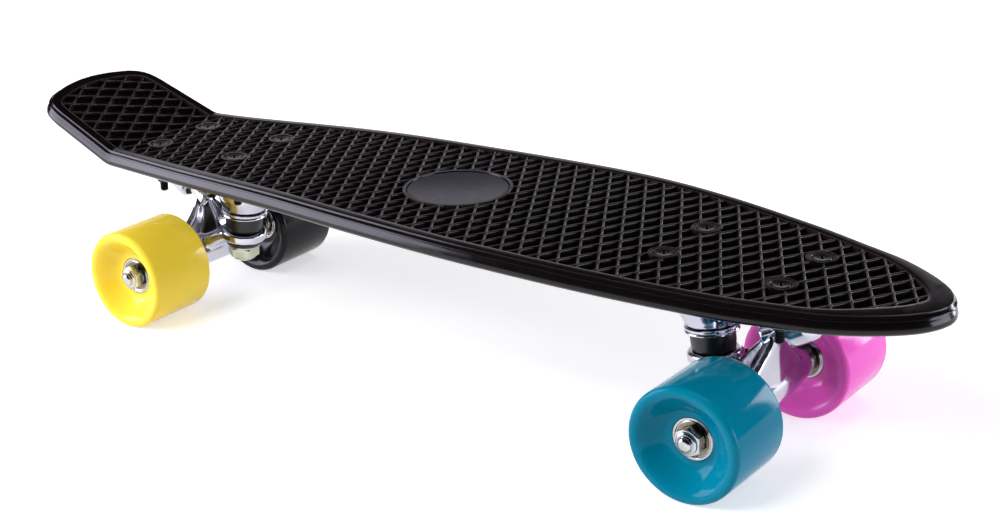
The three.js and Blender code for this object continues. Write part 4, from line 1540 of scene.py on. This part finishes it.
    def build(self) -> None:
        """Models each piece once and copies it to both ends."""
        polished, zinc, chromate = POLISHED.material(), ZINC.material(), CHROMATE.material()
        rubber = BUSHING.material()
        pieces = (
            (self.baseplate(), polished, "cast_baseplate", "board", "polished", "baseplate"),
            (self.hanger(), polished, "cast_hanger", "truck", "polished", "hanger"),
            (self.cup_washer(), polished, "rolled_cup_washer", "board", "polished", "cup_washer"),
            (self.washer(), zinc, "flat_washer", "board", "zinc", "lower_washer"),
            (self.kingpin(), zinc, "kingpin_bolt", "board", "zinc", "kingpin"),
            (self.kingpin_nut(), chromate, "kingpin_lock_nut", "board", "zinc", "kingpin_nut"),
            (self.soft_ring("upper", 11.2, 3.3, 14.7, 0.35), rubber, "barrel_bushing", "board",
             "bushing", "upper_bushing"),
            (self.soft_ring("lower", 11.3, -5.9, -3.3, 0.2), rubber, "road_bushing", "board",
             "bushing", "lower_bushing"),
            (self.axle(), zinc, "axle_rod", "truck", "zinc", "axle"))
        for piece, material, name, body, slot, node in pieces:
            dress(piece, material, CAST_ANGLE if name.startswith("cast") else SMOOTH_ANGLE)
            for end in End:
                copy = copied(piece, f"{end.word}_{name}", self.place(end))
                settle(copy, f"{end.word}_truck" if body == "truck" else body,
                       f"{end.word}_{node}")
            drop(piece)


# The wheels


@dataclass
class Wheel:
    """A wheel about Y with its bearings and nut, its outer face towards +Y.

    The rows of the dish give shares of the way out to its mouth and out to the face. Those of the
    bearing are (radius, height from its face), and those of the nut's collar (radius, height).
    """

    radius: float = 29.8
    width: float = 45.0
    core: float = 24.0
    seat: float = 11.1
    bore: float = 8.5
    mouth: float = 24.8
    lip: float = 2.6
    dish_rows: Table = (
        (0, 0), (0.14, 0.04), (0.3, 0.15), (0.5, 0.36), (0.7, 0.62), (0.86, 0.82), (1.0, 0.945),
        (1.12, 0.992), (1.2, 1.0))
    centre: float = 55.5
    play: float = 0.3
    bearing_width: float = 7.0
    bearing_rows: Table = (
        (4.3, -0.3), (4.6, 0), (5.9, 0), (6.15, -0.25), (6.15, -0.6), (8.6, -0.6), (8.75, -0.3),
        (9.05, -0.2), (9.3, -0.35), (9.35, -0.7), (9.5, -0.7), (9.6, -0.1), (9.75, 0), (10.7, 0),
        (11.0, -0.3))
    shield: tuple[float, float] = (6.2, 8.65)
    nut_flats: float = 13.0
    nut_height: float = 5.0
    nut_bore: float = 4.2
    nut_rows: Table = (
        (0, 4), (5.9, 4), (5.8, 5.2), (5.55, 5.9), (5.0, 6.3), (4.6, 6.4), (4.45, 6.1), (0, 6.1))

    def tyre(self) -> Piece:
        """The cast wheel: bearing seats, a dish on each face and round lips.

        Returns:
            The wheel.
        """
        face, core, lip = self.width / 2, self.core / 2, self.lip
        shoulder, start = core - self.bearing_width - self.play, self.seat + 1.4
        half = [(self.bore, shoulder), (self.seat, shoulder), (self.seat, core - 0.25),
                (self.seat + 0.25, core), (start, core)]
        half += [(start + across * (self.mouth - start), core + along * (face - core))
                 for across, along in between(self.dish_rows, 5)[1:]]
        for k in range(9):
            turn = math.pi / 2 * k / 8
            half.append((self.radius - lip * (1 - math.sin(turn)),
                         face - lip * (1 - math.cos(turn))))
        return turned("tyre", mirrored(half), 128, ACROSS)

    def bearing(self) -> Piece:
        """A ball bearing with stepped races and a sunk shield held by a wire clip.

        Returns:
            The bearing, with the races in the first material slot and the shield in the second.
        """
        half = [(out, self.bearing_width / 2 + up) for out, up in self.bearing_rows]
        bearing = turned("bearing", mirrored(half), 72, ACROSS)
        dress(bearing, BEARING.material())
        bearing.data.materials.append(SHIELD.material())
        low, high = self.shield
        for polygon in bearing.data.polygons:
            across = math.hypot(polygon.center.x, polygon.center.z) / MM
            polygon.material_index = int(low < across < high)
        return bearing

    def nut(self) -> Piece:
        """The axle's lock nut with its round collar, inner face at the origin.

        Returns:
            The nut about Y.
        """
        return put(lock_nut("axle_nut", self.nut_flats, 0, self.nut_height, 0.7, self.nut_rows,
                            self.nut_bore, (56, 40)), ACROSS)

    def build(self, truck: Truck) -> None:
        """Models the pieces once and copies them to the four corners.

        Args:
            truck: The truck that carries the wheels.
        """
        tyre, bearing, nut = self.tyre(), self.bearing(), self.nut()
        dress(nut, ZINC.material())
        shift = (self.core - self.bearing_width) / 2
        for (end, side), finish in WHEELS.items():
            name = f"{end.word}_{side.word}"
            hub = truck.axle_place(end) @ at(0, side.sign * self.centre, 0)
            hub = hub @ Matrix.Rotation(side.turn, 4, "Z")
            wheel = copied(tyre, f"{name}_urethane_wheel", hub)
            dress(wheel, finish.material())
            settle(wheel, f"{name}_roller", f"{name}_wheel")
            for word, sign in (("outer", 1), ("inner", -1)):
                settle(copied(bearing, f"{name}_{word}_ball_bearing", hub @ at(0, sign * shift, 0)),
                       f"{name}_roller", f"{name}_{word}_bearing")
            seat = hub @ at(0, self.core / 2 + self.play, 0)
            settle(copied(nut, f"{name}_axle_lock_nut", seat), f"{end.word}_truck",
                   f"{name}_axle_nut")
        drop(tyre, bearing, nut)


def dress_frame_nodes() -> None:
    """Gives the CAD nodes that stay their materials: pivot cups and bearing spacers."""
    materials = {"_pivot_cup": BUSHING.material(), "_spacer": ZINC.material()}
    for name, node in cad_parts.items():
        for ending, material in materials.items():
            if name.endswith(ending):
                for slot in node.material_slots:
                    slot.material = material


# The studio


@dataclass(frozen=True)
class Softbox:
    """A rectangular lamp that faces the board, in metres. A radiance of 1 looks white.

    Glossy pieces show it where it gleams.
    """

    name: str
    towards: tuple[float, float, float]
    reach: float
    size: tuple[float, float]
    radiance: float
    colour: str = "#ffffff"
    gleams: bool = True
    aim: tuple[float, float, float] = (0, 0, 0.06)

    def build(self) -> None:
        """Adds the lamp."""
        away = Vector(self.towards).normalized() * self.reach
        deselect()
        bpy.ops.object.light_add(type="AREA", location=Vector(self.aim) + away)
        lamp = named(self.name)
        lamp.rotation_euler = (-away).to_track_quat("-Z", "Y").to_euler()
        lamp.data.shape = "RECTANGLE"
        lamp.data.size, lamp.data.size_y = self.size
        lamp.data.energy = self.radiance * math.pi * self.size[0] * self.size[1]
        lamp.data.color = linear(self.colour)[:3]
        lamp.visible_camera = False
        lamp.visible_glossy = self.gleams


SOFTBOXES = (
    Softbox("front_left_softbox", (-0.83, -0.56, 0.24), 1.6, (0.96, 0.85), 8.0, "#eeecff"),
    Softbox("back_right_panel", (0.56, 0.80, 0.15), 1.4, (0.28, 0.6), 14.0, "#eef4ff"),
    Softbox("right_softbox", (0.94, 0.30, 0.13), 1.5, (0.8, 0.5), 6.5, "#eeecff"),
    Softbox("back_strip", (-0.17, 0.98, 0.12), 1.5, (0.34, 0.24), 2.5),
    Softbox("back_overhead_panel", (0.25, 0.43, 0.87), 1.5, (0.4, 0.34), 5.0),
    Softbox("front_overhead_softbox", (-0.22, -0.68, 0.70), 1.8, (1.1, 0.8), 8.0, gleams=False))


@dataclass
class Studio:
    """Pale floor, soft light and the camera at the photograph's angle.

    The camera's place is in millimetres, its focal length and centre are in pixels of the
    photograph, and the floor, the cloth and the wall are in metres.
    """

    azimuth: float = math.radians(41.51)
    elevation: float = math.radians(20.335)
    roll: float = math.radians(-3.223)
    distance: float = 1042.24
    target: tuple[float, float, float] = (-63.21, 0.0, 56.38)
    focal: float = 1787.6
    centre: tuple[float, float] = (356.8, 238.6)
    frame_size: tuple[int, int] = (1000, 528)
    sensor: float = 36.0
    floor_size: float = 16.0
    floor_glow: float = 0.5
    floor_fade: tuple[float, float] = (0.6, 2.2)
    surround: tuple[float, float] = (0.25, 0.75)
    cloth_height: float = 3.2
    wall_radius: float = 2.6
    wall_height: float = 1.08
    wall_fade: float = 0.12
    wall_arc: tuple[float, float] = (86.0, 152.0)
    wall_radiance: float = 0.85

    def camera(self) -> None:
        """Places the camera as it stood for the photograph."""
        az, el = self.azimuth, self.elevation
        back = Vector((math.sin(az) * math.cos(el), -math.cos(az) * math.cos(el), math.sin(el)))
        right = Vector((math.cos(az), math.sin(az), 0))
        up = back.cross(right)
        right_rolled = right * math.cos(self.roll) + up * math.sin(self.roll)
        up_rolled = up * math.cos(self.roll) - right * math.sin(self.roll)
        deselect()
        bpy.ops.object.camera_add()
        camera = named("camera")
        place = Matrix((right_rolled, up_rolled, back)).transposed().to_4x4()
        place.translation = (Vector(self.target) + back * self.distance) * MM
        camera.matrix_world = place
        width, height = self.frame_size
        camera.data.sensor_width = self.sensor
        camera.data.lens = self.focal * self.sensor / width
        camera.data.shift_x = (width / 2 - self.centre[0]) / width
        camera.data.shift_y = (self.centre[1] - height / 2) / width
        camera.data.clip_start = 0.05
        camera.data.clip_end = 100.0
        bpy.context.scene.camera = camera

    @staticmethod
    def seen(tree: Tree, strength: float) -> Socket:
        """A strength that only camera, glossy and transmission rays see.

        Args:
            tree: The node tree.
            strength: The strength.

        Returns:
            The strength's socket.
        """
        rays = add_node(tree, "LightPath").outputs
        some = rays["Is Camera Ray"]
        for ray in ("Is Glossy Ray", "Is Transmission Ray"):
            some = add_node(tree, "Math", {0: some, 1: rays[ray]}, operation="MAXIMUM").outputs[0]
        return add_node(tree, "Math", {0: some, 1: strength}, operation="MULTIPLY").outputs[0]

    def floor(self) -> None:
        """A plain white floor that still takes the board's shadow, and is white far away."""
        deselect()
        bpy.ops.mesh.primitive_plane_add(size=self.floor_size)
        floor = named("floor")
        material, shader = started("pale_floor", {
            "Base Color": linear("#f4f4f4"), "Roughness": 0.9, "Specular IOR Level": 0.0,
            "Emission Color": grey(1.0)})
        tree = material.node_tree
        place = add_node(tree, "TexCoord").outputs["Object"]
        distance = add_node(tree, "VectorMath", {0: place}, operation="LENGTH").outputs["Value"]
        far = add_node(tree, "MapRange", {
            "Value": distance, "From Min": self.floor_fade[0], "From Max": self.floor_fade[1],
            "To Min": 0.0, "To Max": self.floor_glow}).outputs["Result"]
        camera_ray = add_node(tree, "LightPath").outputs["Is Camera Ray"]
        seen_far = add_node(tree, "Math", {0: far, 1: camera_ray}, operation="MULTIPLY").outputs[0]
        glow = add_node(tree, "Math", {0: self.seen(tree, self.floor_glow), 1: seen_far},
                        operation="ADD")
        tree.links.new(glow.outputs[0], shader.inputs["Emission Strength"])
        floor.data.materials.append(material)

    def world(self) -> None:
        """A white surround to look at, and an even grey to light by."""
        world = bpy.data.worlds.new("surround")
        bpy.context.scene.world = world
        world.use_nodes = True
        tree = world.node_tree
        background = tree.nodes["Background"]
        background.inputs["Color"].default_value = grey(1.0)
        lights, shows = self.surround
        strength = add_node(tree, "Math", {0: self.seen(tree, shows), 1: lights}, operation="ADD")
        tree.links.new(strength.outputs[0], background.inputs["Strength"])

    @staticmethod
    def reflected(piece: Piece, material: bpy.types.Material) -> None:
        """Stages a piece that only reflections see.

        Args:
            piece: The piece.
            material: Its material.
        """
        piece.data.materials.append(material)
        piece.visible_camera = piece.visible_diffuse = piece.visible_shadow = False
        piece.visible_transmission = False

    def cloth(self) -> None:
        """Dark cloth all round, above the horizon, so that black stays black."""
        deselect()
        bpy.ops.mesh.primitive_cone_add(
            vertices=64, radius1=3.6, radius2=1.2, depth=self.cloth_height,
            end_fill_type="NOTHING", location=(0, 0, self.cloth_height / 2))
        cloth = named("dark_cloth")
        bpy.ops.object.transform_apply(location=True)
        self.reflected(cloth, started("dark_cloth", {
            "Base Color": linear("#0c0c0d"), "Roughness": 1.0, "Specular IOR Level": 0.0})[0])

    def wall(self) -> None:
        """A low pale wall behind the board, for the light on the rim's flat top."""
        deselect()
        bpy.ops.mesh.primitive_cylinder_add(
            vertices=144, radius=self.wall_radius, depth=self.wall_height,
            end_fill_type="NOTHING", location=(0, 0, self.wall_height / 2))
        wall = named("pale_wall")
        bpy.ops.object.transform_apply(location=True)
        low, high = self.wall_arc
        with editing(wall):
            pick(lambda: wall.data.polygons, lambda polygon: not low < math.degrees(
                math.atan2(polygon.center.y, polygon.center.x)) < high)
            bpy.ops.mesh.delete(type="FACE")
        material, shader = started("pale_wall", {
            "Base Color": grey(0.0), "Specular IOR Level": 0.0,
            "Emission Color": linear("#efecf4")})
        tree = material.node_tree
        place = add_node(tree, "SeparateXYZ", {0: add_node(tree, "TexCoord").outputs["Object"]})
        fade = add_node(tree, "MapRange", {
            "Value": place.outputs["Z"], "From Min": self.wall_height - self.wall_fade,
            "From Max": self.wall_height, "To Min": self.wall_radiance, "To Max": 0.0})
        tree.links.new(fade.outputs["Result"], shader.inputs["Emission Strength"])
        self.reflected(wall, material)

    def build(self) -> None:
        """Sets up the whole studio."""
        bpy.context.scene.view_settings.view_transform = "Standard"
        self.camera()
        self.floor()
        self.world()
        self.cloth()
        self.wall()
        for softbox in SOFTBOXES:
            softbox.build()


def main() -> None:
    """Builds the board piece by piece, then the studio."""
    logging.basicConfig(level=logging.INFO, format="%(name)s: %(message)s")
    deck, truck = Deck(), Truck()
    heads = {end: truck.heads(end, deck) for end in End}
    deck.build([head for places in heads.values() for head in places])
    Badge().build(deck)
    Fasteners().build(heads, (truck.axle_height + truck.height - truck.plate[2]) * MM)
    truck.build()
    Wheel().build(truck)
    dress_frame_nodes()
    Studio().build()


if __name__ == "__main__":
    main()
